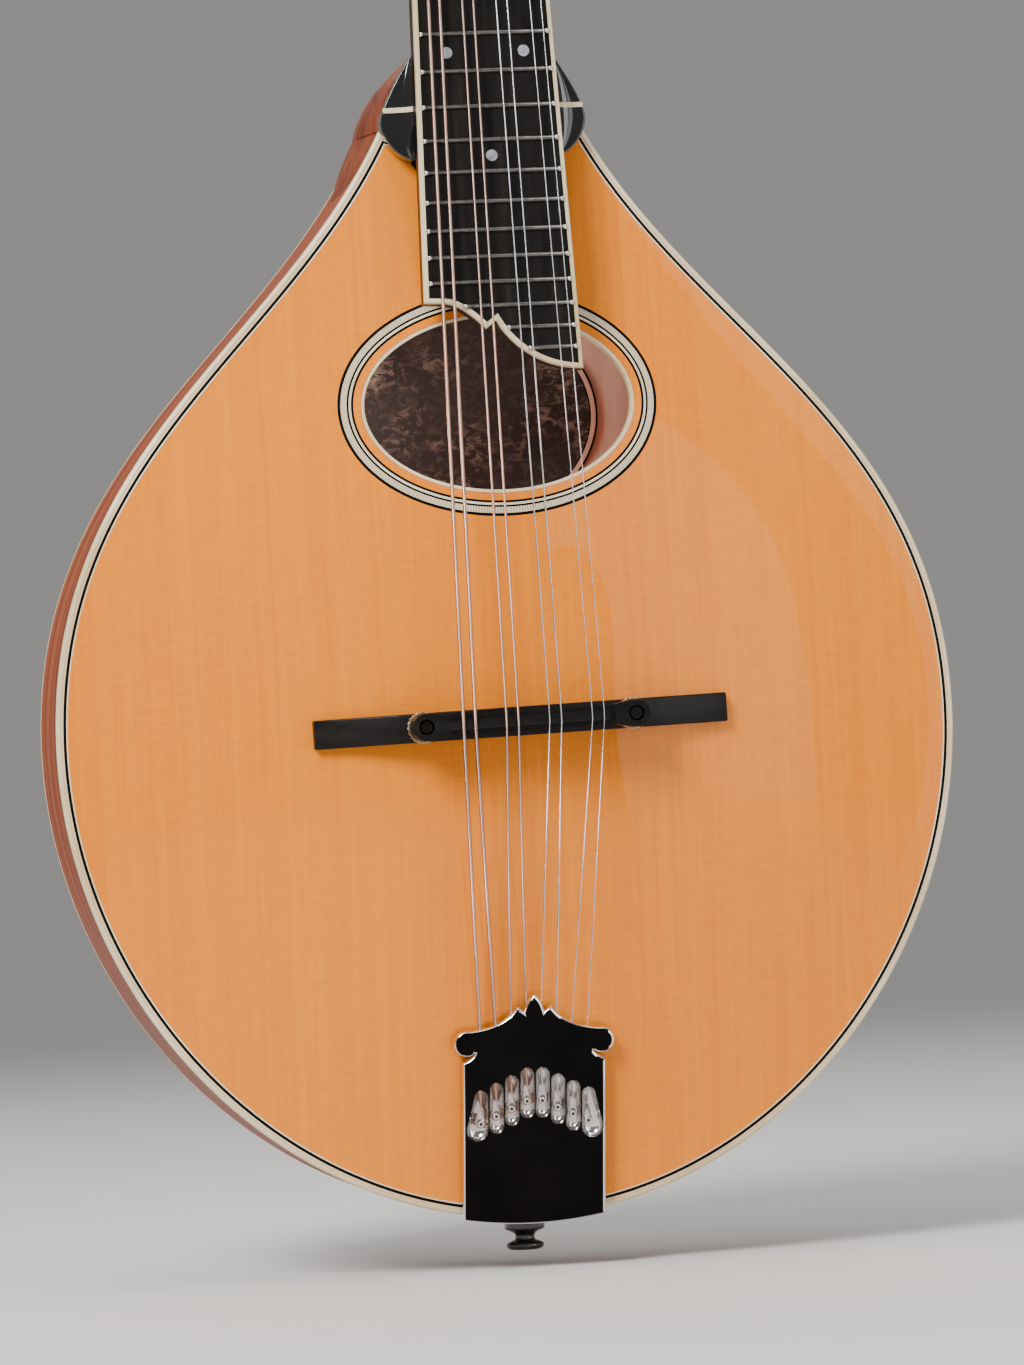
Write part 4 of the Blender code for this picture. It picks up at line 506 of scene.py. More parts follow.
M = {
    "spruce": spruce(),
    "rim": side_wood("rim_wood", "UV", (6, 160, 1), (104, 44, 22), (142, 68, 38), (176, 94, 58)),
    "back": side_wood("back_wood", "Object", (160, 60, 7), (92, 42, 24), (134, 66, 40), (160, 88, 58)),
    "neck": side_wood("neck_wood", "Object", (170, 120, 8), (84, 38, 20), (124, 60, 36), (150, 80, 50)),
    "inside": inside_wood(),
    "cream": cream(),
    "cream_pale": cream("white_line", (1.04, 1.08, 1.2)),
    "rust": plain("rust_line", (176, 92, 62), (204, 128, 96), coat=0.4),
    "black_line": plain("black_line", (1, 1, 1), (5, 5, 5), (0.5, 0.65), shine=0.08),
    "ticked": ticked(),
    "label": label_paper(),
    "label_edge": plain("label_border", (204, 170, 144), (226, 196, 170), (0.6, 0.75), scale=120),
    "board": ebony("ebony_board", (260, 200, 9)),
    "ebony": ebony("ebony_bridge", (14, 240, 240)),
    "head": ebony("ebony_veneer", (200, 200, 10)),
    "gloss": plain("black_gloss", (8, 8, 8), (14, 13, 13), (0.04, 0.07), coat=1.0, wear=0.03),
    "pin": plain("pin_black", (10, 10, 10), (20, 19, 19), (0.12, 0.2), coat=0.6),
    "pearl": plain("grey_pearl", (120, 122, 128), (172, 174, 178), (0.12, 0.25), scale=420, coat=0.6),
    "bone": plain("bone_nut", (214, 198, 160), (234, 222, 194), (0.25, 0.4), scale=200, coat=0.3),
    # One nickel wire in two copies: the frets darkened as a painted dark reflection, the fret-end beads
    # brightened as a painted highlight.
    "fret": brushed("nickel_frets_painted_dark", (88, 85, 82), (126, 122, 118), (0.34, 0.44), (900, 60, 900)),
    "bead": brushed("fret_ends_painted_highlight", (196, 192, 188), (236, 232, 228), (0.12, 0.2), 900),
    "nickel": brushed("bright_nickel", (186, 180, 172), (222, 218, 212), (0.1, 0.22), 120),
    "steel": brushed("plain_wire", (176, 177, 180), (222, 222, 225), (0.22, 0.32), (400, 400, 60)),
    # Near-black metal for the bridge posts: painted shade in the saddle holes they sit in.
    "post": brushed("post_painted_shade", (26, 24, 22), (48, 44, 40), (0.3, 0.45), 200),
    "dull_steel": brushed("dull_steel", (110, 108, 106), (150, 148, 146), (0.3, 0.45), (60, 60, 600)),
    # One chrome in three copies: the tailpiece face near black as a painted dark reflection, the scoops
    # mid grey, and the edges, strap and pegs bright as a painted highlight.
    "mirror": plain("chrome_painted_dark_reflection", (15, 15, 15), (24, 23, 23), (0.04, 0.08), 1.0, 30, wear=0.02),
    "scoop": plain("polished_scoops", (182, 179, 177), (222, 219, 217), (0.1, 0.16), 1.0, 160, wear=0.08),
    "bright": plain("chrome_painted_bright", (226, 219, 214), (242, 237, 234), (0.1, 0.18), 1.0, 90, wear=0.05),
    "wound": wound(),
    "button": plain("pearl_button", (206, 198, 176), (236, 230, 214), (0.1, 0.2), scale=240, coat=0.7),
    "gilt": brushed("thumbwheel_metal", (170, 136, 96), (222, 196, 160), (0.18, 0.32), 200),
}


# The body's outline and arch

def body_outline():
    widest = (BODY_HALF, WIDEST)
    lower = bezier((0.0, TAIL), (TAIL_PULL, TAIL), (BODY_HALF, WIDEST - LOWER_PULL), widest, 104)
    upper = bezier(widest, (BODY_HALF, WIDEST + UPPER_PULL), SHOULDER_PULL, JOINT, 96)
    right = lower + upper + [JOINT]
    joint = [(JOINT[0] * share, JOINT[1]) for share in (0.75, 0.5, 0.25, 0.0, -0.25, -0.5, -0.75)]
    return right + joint + [(-x, along) for x, along in reversed(right[1:])]


OUTLINE = body_outline()
EDGE_ANGLES = np.array([math.atan2(a, x) for x, a in OUTLINE])
EDGE_REACH = np.array([math.hypot(x, a) for x, a in OUTLINE])
ORDER = np.argsort(EDGE_ANGLES)
LENGTHS = [0.0]
for (x0, a0), (x1, a1) in zip(OUTLINE, OUTLINE[1:] + OUTLINE[:1]):
    LENGTHS.append(LENGTHS[-1] + math.hypot(x1 - x0, a1 - a0) * MM)


def arch(x, along):
    reach = np.interp(math.atan2(along, x), EDGE_ANGLES[ORDER], EDGE_REACH[ORDER], period=2 * math.pi)
    return max(0.0, 1.0 - (math.hypot(x, along) / reach) ** 2) ** ARCH_POWER


def top_out(x, along):
    return TOP_RISE * arch(x, along)


def back_out(x, along):
    return -RIM_DEPTH - BACK_RISE * arch(x, along)


def on_top(outline, above):
    return [at(x, a, top_out(x, a) + above) for x, a in outline]


def on_back(outline, above):
    return [at(x, a, back_out(x, a) + above) for x, a in outline]


def hole_line(angles, grow):
    """The sound hole's ellipse, moved outwards along its normals."""
    a, b = HOLE_HALF
    line = []
    for angle in angles:
        c, s = math.cos(angle), math.sin(angle)
        size = math.hypot(c / a, s / b)
        line.append((a * c + grow * c / a / size, HOLE_ALONG + b * s + grow * s / b / size))
    return line


def carved_top():
    """Spruce plate with the purfling lines at its edge, open at the hole and grooved for its ring."""
    around = [math.atan2((a - HOLE_ALONG) / HOLE_HALF[1], x / HOLE_HALF[0]) for x, a in OUTLINE]
    edge = [offset(OUTLINE, inset) for inset in (EDGE_INSET, 2.8, 3.16)]
    hole = [hole_line(around, grow) for grow in (1.0, 3.0, 7.34)]

    def across(inner, outer, share):
        return [between(p, q, share) for p, q in zip(inner, outer)]
    rows = [(hole[0], 0.0), (hole[1], 0.0), (hole[1], -1.2), (hole[2], -1.2), (hole[2], 0.0)]
    rows += [(across(hole[2], edge[2], k / 44), 0.0) for k in range(1, 45)]
    numbers = [0] * (len(rows) - 1) + [2, 1, 0]
    rows += [(edge[1], 0.0), (edge[0], 0.0), (edge[0], -PLATE)]
    rows += [(across(hole[0], edge[0], share), -PLATE) for share in (0.8, 0.6, 0.4, 0.2, 0.0)]
    numbers += [0] * (len(rows) - len(numbers))
    skin([on_top(line, above) for line, above in rows], "carved_top", "spruce black_line cream_pale",
         "spruce", "top_plate", 40, loop=True, numbers=numbers)


def hole_ring(grow, bands, depth, *looks):
    """A ring round the hole. Bands are (width, material number, height) from the inside outwards."""
    steps, length = 240, 0.205
    rows, numbers = [(grow, -depth)], []
    for width, number, high in bands:
        rows += [(grow, high), (grow + width, high)]
        numbers += [number, number]
        grow += width
    rows.append((grow, -depth))
    numbers += [numbers[-1], numbers[0]]
    angles = [2 * math.pi * i / steps for i in range(steps)]

    def uv(i, j):
        return i * length / steps, rows[j % len(rows)][0] * MM
    skin([on_top(hole_line(angles, reach), high) for reach, high in rows], *looks, smooth=30, loop=True,
         numbers=numbers, uv=uv)


def strip(section, numbers, *looks):
    """A closed section of (inset, out) pairs carried round the body."""
    def uv(i, j):
        return LENGTHS[i], section[j % len(section)][1] * MM
    skin([[at(x, a, out) for x, a in offset(OUTLINE, inset)] for inset, out in section], *looks,
         smooth=50, loop=True, numbers=numbers, uv=uv)


def body_edges():
    top = [(2.0, -5.0), (0.1, -5.0), (0.1, -1.1), (0.0, -1.0), (0.0, -0.9), (0.08, -0.62), (0.3, -0.25),
           (0.62, -0.05), (1.1, 0.0), (1.26, 0.0), (1.4, 0.0), (2.0, 0.0)]
    strip(top, [2, 2, 0, 0, 0, 0, 0, 0, 0, 1, 0, 0], "top_edge_binding", "cream rust rim",
          "ivory_binding", "top_binding")
    back = [(2.0, 0.0), (1.1, 0.0), (0.62, 0.05), (0.3, 0.25), (0.08, 0.62), (0.0, 0.9), (0.1, 1.0),
            (0.1, 5.0), (2.0, 5.0)]
    strip([(inset, up - RIM_DEPTH) for inset, up in back], [0, 0, 0, 0, 0, 0, 1, 1, 0],
          "back_edge_binding", "cream rim", "ivory_binding", "back_binding")
    rim = [(2.2, -5.0), (0.1, -5.0)] + [(0.1, -5.0 - (RIM_DEPTH - 10.0) * k / 8) for k in range(1, 9)]
    strip(rim + [(2.2, 5.0 - RIM_DEPTH)], None, "rim_wood_side", "rim", "maple", "rim")


def carved_back():
    middle = (0.0, 10.0)
    edge = offset(OUTLINE, EDGE_INSET)
    rings = [[between(middle, point, 1 - (k / 36) ** 1.15) for point in edge] for k in range(36)]
    outer = [on_back(ring, 0.0) for ring in reversed(rings)]
    inner = [on_back(ring, PLATE) for ring in rings[::3]]
    shape = Shape()
    ids = shape.grid(outer + inner, numbers=[0] * len(outer) + [1] * (len(inner) - 1))
    shape.fan(ids[0], *on_back([middle], 0.0))
    shape.fan(ids[-1], *on_back([middle], PLATE), 1)
    shape.build("carved_back", "back inside", "maple", "back_plate", 40)


def label():
    """A dark oval sheet with a plain pale border and a black line, seen through the hole; its side and
    outermost rim are painted black, a painted shadow at its edge.
    """
    low, thick, steps = 3.9, 0.4, 96
    rows, numbers = [], []
    # The side and outermost rim take black_line: painted shadow at the sheet's edge.
    for share, high, number in ((1.0, 0.0, 2), (1.0, 0.36, 2), (0.985, thick, 0), (0.95, thick, 2),
                                (0.94, thick, 1), (0.7, thick, 1), (0.45, thick, 1), (0.2, thick, 1)):
        oval = [(LABEL_HALF[0] * share * x, LABEL_ALONG + LABEL_HALF[1] * share * a)
                for x, a in circle((0, 0), 1, steps)]
        rows.append(on_back(oval, low + high))
        numbers.append(number)
    shape = Shape()
    ids = shape.grid(rows, numbers=numbers)
    shape.fan(ids[-1], *on_back([(0, LABEL_ALONG)], low + thick), 1)
    shape.fan(ids[0], *on_back([(0, LABEL_ALONG)], low), 1)
    shape.build("oval_label", "label_edge label black_line", "paper_label", "label", 40)


# Neck, heel and headstock

def board_under_out(along):
    fret_plane = FRET_OUT_AT_NUT + (NUT_ALONG - along) * math.tan(NECK_ANGLE)
    return fret_plane - (FRET_HEIGHT + BOARD_THICKNESS) / math.cos(NECK_ANGLE)


def from_nut(along):
    return (NUT_ALONG - along) / math.cos(NECK_ANGLE)


def board_half(distance):
    return BOARD_HALF_AT_NUT + BOARD_FLARE * distance


def d_section(half, depth, fullness, steps=36):
    """Flat-topped section in (x, down): the top corner at +x, round below to -x."""
    points = []
    for i in range(steps + 1):
        angle = math.pi * i / steps
        c, s = math.cos(angle), max(0.0, math.sin(angle))
        points.append((math.copysign(half * abs(c) ** (2 / fullness), c), depth * s ** (2 / fullness)))
    return points


def head_half_line():
    start, waist, crown = (BOARD_HALF_AT_NUT, 0.0), (31.0, 34.0), (28.5, 114.0)
    half = bezier(start, (start[0] + 0.6, 17), (29.5, 13), waist, 24)
    half += [between(waist, crown, k / 8) for k in range(8)]
    return half + bezier(crown, (27.7, 129.0), (13.0, 134.5), (0.0, 136.0), 24)


def neck():
    start, end = JOINT[1] + 0.3, NUT_ALONG - 4.5
    rows = []
    for i in range(15):
        share = i / 14
        along = start + (end - start) * share
        depth = 16.5 - 2.0 * share
        top = board_under_out(along) - 0.15
        section = d_section(board_half(from_nut(along)), depth, 1.95)
        rows.append([at(x, along, top - down) for x, down in section])
    for half, up in head_half_line():
        fullness = 2.4 + 5.0 * min(1.0, up / 34.0)
        rows.append([local(HEAD, x, down, max(up, 1.0)) for x, down in d_section(half, 14.0, fullness)])
    skin(rows, "neck_and_headstock", "neck", "mahogany", "neck", 50)


def heel():
    """Heel from the neck's back to the body, with cheeks that run out along the body's sides."""
    heights = [-HEEL_CHEEK + k for k in range(HEEL_CHEEK)] + [-0.05]
    heights += [0.05 + (HEEL_LENGTH - 0.05) * k / 40 for k in range(41)]
    rows = []
    for above in heights:
        along = JOINT[1] + above
        if above > 0:
            (half, depth, fullness), top = curve_value(HEEL, above), 0.9
        else:
            half = crossing(OUTLINE, min(along, JOINT[1] - 0.01))[1]
            half -= 0.2 + 0.2 * min(1.0, -above / 6.0)
            depth, fullness, top = 40.1, 9.0, -1.6
        swell = curve_value(HEEL_SWELL, above)[0] / half
        row = []
        for x, down in d_section(half, depth, fullness, 60):
            share = min(1.0, max(0.0, (down - 3.0) / 15.0))
            row.append(at(x * (1 + swell * share * share * (3 - 2 * share)), along, top - down))
        rows.append(row)
    skin(rows, "heel", "neck", "mahogany", None, 50)


def curve_value(table, place):
    """A table's values at a place between its rows, on smooth curves through them."""
    last = len(table) - 1
    i = max(k for k in range(last) if table[k][0] <= place + 1e-9)
    step = table[i + 1][0] - table[i][0]
    t = (place - table[i][0]) / step

    def slope(k, item):
        low, high = max(0, k - 1), min(last, k + 1)
        return (table[high][item] - table[low][item]) / (table[high][0] - table[low][0])
    h00, h10 = 2 * t ** 3 - 3 * t ** 2 + 1, t ** 3 - 2 * t ** 2 + t
    h01, h11 = -2 * t ** 3 + 3 * t ** 2, t ** 3 - t ** 2
    return [h00 * table[i][item] + h10 * step * slope(i, item) + h01 * table[i + 1][item]
            + h11 * step * slope(i + 1, item) for item in range(1, len(table[0]))]


def plate(name, outline, front, back, matrix, *looks, edge=0.4, holes=(), rings=3, **settings):
    """A flat plate in a frame's (x, z), with its front edge rounded; y runs from front to back."""
    shape = Shape()
    outline = anticlockwise(outline)
    rows = [(0.0, back)] + [(inset, front + fall) for inset, fall in rounding(edge, edge, rings)]
    ids = shape.grid([placed(matrix, offset(outline, inset), y) for inset, y in rows])
    bores = [shape.grid([placed(matrix, hole, y) for y in (back, front)]) for hole in holes]
    shape.cap(ids[-1], holes=[bore[1] for bore in bores])
    shape.cap(ids[0], holes=[bore[0] for bore in bores])
    shape.build(name, *looks, **settings)


def headstock_face():
    half = head_half_line()
    outline = [(x, z) for x, z in half if z > 4.2] + [(-x, z) for x, z in reversed(half[:-1]) if z > 4.2]
    bores = [circle((side * POST_X, z), 3.3) for side, _ in SIDES for z in POSTS]
    plate("headstock_face", outline, -1.9, -0.15, HEAD, "head", "ebony", "headstock_veneer", edge=0.35,
          holes=bores)


# Fingerboard

def board_outline():
    bass_end, treble_end = from_nut(112.3), from_nut(92.9)
    bass_lip = (-16.5, -from_nut(112.1))
    low_cusp = (-4.4, -from_nut(104.8))
    high_cusp = (-1.6, -from_nut(106.9))
    treble_tip = (board_half(treble_end), -treble_end)
    line = [(-BOARD_HALF_AT_NUT, 0.0), (-board_half(bass_end), -bass_end)]
    line += bezier(bass_lip, (bass_lip[0] + 5, bass_lip[1]), (low_cusp[0] - 3.3, low_cusp[1] + 3),
                   low_cusp, 24)
    line += [low_cusp] + bezier(high_cusp, (high_cusp[0] + 3, high_cusp[1] - 5.8),
                                (9.0, treble_tip[1] + 0.3), treble_tip, 24)
    return line + [treble_tip, (BOARD_HALF_AT_NUT, 0.0)]


def board_inset(distance):
    moved = offset(board_outline(), distance, longest=2.0)
    moved[0] = (moved[0][0], 0.0)
    moved[-1] = (moved[-1][0], 0.0)
    return moved


def crossing(points, z):
    """The last stretch of an outline across a line at z."""
    pairs = zip(points, points[1:] + points[:1])
    found = sorted(x0 + (x1 - x0) * (z - z0) / (z1 - z0)
                   for (x0, z0), (x1, z1) in pairs if (z0 - z) * (z1 - z) < 0)
    return found[-2], found[-1]


def fret_z(number):
    return -SCALE * (1 - 2 ** (-number / 12))


def fingerboard():
    plate("board", board_inset(BOARD_BINDING), 0.0, BOARD_THICKNESS, NECK, "board", "ebony", "fretboard",
          edge=0.02, rings=1, smooth=30)
    low, edge, inner = BOARD_THICKNESS - 0.05, 0.5, BOARD_BINDING - 0.02
    rows = [(0.0, low), (0.0, 2.0), (0.0, edge)]
    rows += [(edge * (1 - math.cos(t)), edge * (1 - math.sin(t))) for t in (0.52, 1.05, 1.571)]
    rows += [(inner, 0.0), (inner, low)]
    skin([placed(NECK, board_inset(inset), y) for inset, y in rows], "board_edge_binding", "cream board",
         "ivory_binding", "fretboard_binding", 40, loop=True, numbers=[1] + [0] * (len(rows) - 1))


def frets():
    """Each fret a rounded crown whose ends finish in small beads over the binding."""
    shape, outline = Shape(), board_outline()
    profile = [(math.cos(t), math.sin(t)) for t in (math.pi * k / 10 for k in range(11))]
    inset, bead, crown_half, foot_half = 1.0, 0.8, 0.68, 0.55
    stations = []
    for share in (0.0, 0.3, 0.6, 0.85, 1.0, 1.25, 1.6):
        round_size = math.sqrt(max(0.0004, 1 - max(0.0, 1 - share) ** 2))
        stations.append((inset + bead * share, round_size * (1.2 if share < 1.3 else 1.0)))
    for number in range(1, 23):
        z = fret_z(number)
        left, right = crossing(outline, z)
        ends = [(left + reach, size) for reach, size in stations]
        ends += [(right - reach, size) for reach, size in reversed(stations)]
        rows = []
        for x, size in ends:
            row = [local(NECK, x, -FRET_HEIGHT * s * size + 0.02, z + crown_half * c * size)
                   for c, s in profile]
            rows.append(row + [local(NECK, x, 0.5, z + side * foot_half * size) for side in (-1, 1)])
        bands = len(rows) - 1
        # The six bands at each end take the bright copy: a painted highlight on the beads.
        ids = shape.grid(rows, numbers=[1 if min(k, bands - 1 - k) < 6 else 0 for k in range(bands)])
        shape.cap(ids[0], 1)
        shape.cap(ids[-1], 1)
    shape.build("fret_wires", "fret bead", "nickel", smooth=50)


def dots():
    shape = Shape()
    for number, places in ((5, (0,)), (7, (0,)), (10, (0,)), (12, (-10.75, 10.75)), (15, (0,))):
        for x in places:
            ring = circle((x, (fret_z(number - 1) + fret_z(number)) / 2), 1.6)
            for ids in shape.grid([placed(NECK, ring, y) for y in (0.4, -0.02)]):
                shape.cap(ids)
    shape.build("position_dots", "pearl", "bone", smooth=30)


def riser():
    """Wood between the board's extension and the carved top, flared out under the shoulder caps."""
    start, end, wide, narrow = JOINT[1] - 0.6, 120.0, 19.4, 16.5
    rows = []
    for i in range(25):
        share = i / 24
        along = start + (end - start) * share
        half = wide + (narrow - wide) * min(1.0, share / 0.4)
        top = board_under_out(along) - 0.1
        foot = half + 7.5 * max(0.0, 1 - share / 0.36) ** 1.6 + 0.4
        low = [(foot * k / 6, top_out(foot * k / 6, along) + 0.05) for k in range(6, -7, -1)]
        high = min(1.15, top)
        side = min(half, 17.5)
        points = [(-foot, high), (-side - 0.2, high + 0.15), (-side, top), (side, top),
                  (side + 0.2, high + 0.15), (foot, high)]
        rows.append([at(x, along, out) for x, out in points + low])
    # Ebony-black: a real wood, whose darkness here also stands for the shade under the board's extension,
    # so partly painted shade.
    skin(rows, "board_riser", "head", "mahogany", "extension_riser", 30)


def cap_rise(along, share):
    """How far a shoulder cap stands up next to the board, at a share of its width."""
    return (board_under_out(along) - CAP_OUT - 0.2) * (1 - share) ** 4


def shoulder_caps():
    def edge(along):
        return board_half(from_nut(along)) + 0.12
    low, high, steps = CAP_FOOT - 0.5, CAP_TIP + 0.3, 12
    foot, tip = (edge(CAP_FOOT), low), (edge(CAP_TIP) + 0.4, high)
    points = bezier(foot, (foot[0] + 3.8, CAP_FOOT + 0.2), (28.3, 157.6), CAP_CORNER, 18)
    points += bezier(CAP_CORNER, (28.6, 167.6), (edge(CAP_TIP) + 4.8, CAP_TIP - 7), tip, 18) + [tip]
    for side, name in SIDES:
        rows = []
        for k, point in enumerate(points):
            inner = min(low + (high - low) * k / (len(points) - 1), CAP_TIP)
            start = (edge(inner) - 0.02, inner)
            wide = max(0.3, math.dist(point, start))
            edge_round = min(0.5, wide * 0.5)
            row = [(0.0, 1.2)]
            row += [(j / steps * (1 - edge_round / wide), CAP_OUT + cap_rise(inner, j / steps))
                    for j in range(steps)]
            row += [(1 - inset / wide, CAP_OUT - fall)
                    for inset, fall in reversed(rounding(edge_round, edge_round, 5))]
            places = [(between(start, point, share), out) for share, out in row + [(1.0, 1.2)]]
            rows.append([at(side * x, along, out) for (x, along), out in places])
        skin(rows, "shoulder_cap_%s_gloss" % name, "gloss", "black_gloss", "shoulder_cap_" + name, 50)
        rows = []
        for j in range(15):
            start = edge(CAP_LINE) + 0.05
            x = side * (start + (28.0 - start) * j / 14)
            out = CAP_OUT + 0.06 + cap_rise(CAP_LINE, j / 14)
            rows.append([at(x, CAP_LINE + along, out + sink)
                         for along, sink in ((-0.7, 0.0), (0.7, 0.0), (0.7, -1.2), (-0.7, -1.2))])
        skin(rows, "shoulder_line_" + name, "cream", "ivory_binding", "cap_strip_" + name, 30)


def nut():
    half, top, floor = 15.2, -2.3, -1.55
    line = [(-half, 6.0), (-half, top + 0.5), (-half + 0.5, top)]
    for k, radius in enumerate(STRING_RADII):
        x = 7.4 * (k // 2 - 1.5) + 2.9 * (k % 2 - 0.5)
        r = radius + 0.1
        line += [(x - r - 0.15, top), (x - r, top + 0.25), (x - r, floor)]
        line += [(x + r * math.cos(a), floor + 0.05 + r * math.sin(a) * 0.6)
                 for a in (2.6, 2.1, 1.57, 1.05, 0.55)]
        line += [(x + r, floor), (x + r, top + 0.25), (x + r + 0.15, top)]
    line += [(half - 0.5, top), (half, top + 0.5), (half, 6.0)]
    rows = [[local(NECK, x, y, z) for x, y in line] for z in (0.05, 0.3, 5.0, 5.25)]
    skin(rows, "bone_nut", "bone", "bone", "nut")


# Turned pieces

def softened(profile, amount, steps=4):
    """A profile with its inner corners rounded."""
    points = [profile[0]]
    for before, here, after in zip(profile, profile[1:], profile[2:]):
        b, h, a = Vector(before), Vector(here), Vector(after)
        reach = min(amount, (b - h).length * 0.45, (a - h).length * 0.45)
        if reach < 1e-3:
            points.append(here)
            continue
        start, end = h + (b - h).normalized() * reach, h + (a - h).normalized() * reach
        for k in range(steps + 1):
            t = k / steps
            points.append(tuple(start * (1 - t) ** 2 + h * 2 * t * (1 - t) + end * t * t))
    return points + [profile[-1]]


def turned(name, profile, matrix, *looks, steps=48, flatness=lambda z: 1.0, **settings):
    """A piece turned from (place along z, radius) pairs, flattened along y where that is asked for."""
    rows = [[local(matrix, x, y * flatness(z), z) for x, y in circle((0, 0), max(radius, 1e-4), steps)]
            for z, radius in profile]
    skin(rows, name, *looks, **settings)


def end_pin():
    profile = [(0.0, 0.0), (0.05, 3.6), (0.0, 4.4), (0.7, 5.25), (1.75, 5.3), (2.35, 4.0), (2.7, 2.9),
               (3.2, 2.7), (4.2, 2.75), (4.9, 3.6), (5.6, 5.3), (6.0, 5.7), (8.7, 5.7), (8.7, 3.6),
               (27.0, 3.2), (27.0, 0.0)]
    matrix = Matrix.Translation(at(-TAILPIECE_X, TAIL - 10.2, -RIM_DEPTH / 2))
    turned("strap_pin", softened(profile, 0.5), matrix, "pin", "black_gloss", "end_pin")


# Tuning machines

def tuners():
    for side, name in SIDES:
        refined("tuner_plate_" + name, "nickel", "nickel", bevel=0.2)
        for i, z in enumerate(POSTS):
            machine = "%s_%d" % (name, i + 1)
            outward = HEAD @ Matrix.Translation(Vector((side * POST_X, GEAR_Y, z - WORM_DROP)) * MM)
            knob(machine, outward @ Matrix.Rotation(side * math.pi / 2, 4, "Y"))
            refined("tuner_post_" + machine, "nickel", "nickel", "post_" + machine, bevel=0.12)


def knob(name, matrix):
    """Worm with a real thread, shaft and an oval pearl-like button."""
    start, end, radius, turns, steps = -4.7, 4.7, 1.5, 7, 24
    metal = [(start - 2.7, 0.0), (start - 2.7, 1.1), (start - 2.5, 1.3), (start, 1.3),
             (start + 0.05, radius), (end - 0.05, radius), (end, 1.3), (18.4, 1.3), (18.8, 2.3),
             (20.3, 2.5), (20.6, 0.0)]
    body = "knob_" + name
    turned("machine_shaft_" + name, softened(metal, 0.15, 2), matrix, "nickel", "nickel",
           "tuner_knob_" + name, 40, body, steps=32)
    rows = []
    for k in range(turns * steps + 1):
        angle = 2 * math.pi * k / steps
        z = start + 0.3 + (end - start - 0.6) * k / (turns * steps)
        c, s = math.cos(angle), math.sin(angle)
        rows.append([local(matrix, (radius + rise) * c, (radius + rise) * s, z + dz) for rise, dz in
                     ((-0.25, -0.45), (0.38, -0.16), (0.38, 0.16), (-0.25, 0.45))])
    skin(rows, "worm_thread_" + name, "nickel", "nickel", None, 40, body)
    button = [(20.2, 0.0), (20.3, 2.1), (21.0, 3.0), (23.0, 4.3), (26.0, 5.2), (28.5, 5.4), (31.0, 5.0),
              (33.0, 3.9), (34.1, 2.4), (34.5, 0.0)]
    turned("button_" + name, softened(button, 0.9), matrix, "button", "tuner_button", None, 60, body,
           flatness=lambda z: 1 - 0.38 * min(1.0, max(0.0, (z - 19.5) / 4.2)))


# Bridge

def bridge():
    """Foot that follows the arch but for its relieved middle, saddle on two posts, and their wheels."""
    half, thick, edge, stations = 57.7, 4.0, 0.45, 48
    base = []
    for i in range(stations + 1):
        x = half * (2 * i / stations - 1)
        relief = 1.6 * max(0.0, 1 - (x / 29.1 * 1.35) ** 2)
        base.append((x, top_out(BRIDGE_X + x, BRIDGE_ALONG) + 0.12 + relief))
    tip, peak = (half, base[-1][1] + 3.0), (35.0, TOP_RISE + 5.5)
    rise = bezier(tip, (52.7, tip[1] + 0.2), (41.0, peak[1] - 3.0), peak, 22) + [peak]
    line = base + rise + [(-x, out) for x, out in reversed(rise)]
    outline = anticlockwise([(x, -out) for x, out in line])
    flat = BRIDGE @ Matrix(((1, 0, 0, 0), (0, 0, 1, 0), (0, 1, 0, 0), (0, 0, 0, 1)))
    corner = rounding(edge, edge, 3)
    rows = [(inset, fall - thick) for inset, fall in reversed(corner)]
    rows += [(inset, thick - fall) for inset, fall in corner]
    skin([placed(flat, offset(outline, inset), y) for inset, y in rows], "bridge_foot", "ebony", "ebony",
         "bridge_base", 40)
    refined("bridge_saddle", "ebony", "ebony", "saddle", bevel=0.45, segments=4, smooth=50)
    for _, name in SIDES:
        # The posts use the near-black metal: painted shade in the saddle's deep holes.
        refined("bridge_post_" + name, "post", "nickel", bevel=0.2)
        refined("thumbwheel_" + name, "gilt", "nickel", "wheel_" + name, bevel=0.12)


# Tailpiece

def tail_edge(x):
    beyond = (TAILPIECE_X + x) ** 2 / (2 * TAIL_RADIUS) - 1.2
    return (beyond + x * math.sin(TAILPIECE_TWIST)) / math.cos(TAILPIECE_TILT)


def tail_outline():
    length, half_width, lobe_centre = 63.2, 20.0, (18.9, 49.9)
    notch = (2.9, length - 4.6)
    side_tip = (4.7, length - 3.2)
    lobe = arc(lobe_centre, 3.6, 100, -135, 36)
    half = bezier((0.0, length), (1.5, length - 0.9), (2.4, length - 2.6), notch, 16) + [notch]
    half += bezier(side_tip, (7.6, side_tip[1] - 4.2), (12.0, lobe[0][1] + 0.5), lobe[0], 24) + lobe
    shoulder = (half_width, lobe_centre[1] - 5.2)
    half += bezier((lobe[-1][0] + 0.3, lobe[-1][1] - 0.3), (17.2, shoulder[1] + 1.4),
                   (18.6, shoulder[1] + 0.5), shoulder, 12) + [shoulder]
    rear = [(half_width * i / 12, tail_edge(half_width * i / 12)) for i in range(12, -13, -1)]
    return half + rear + [(-x, z) for x, z in reversed(half[1:])]


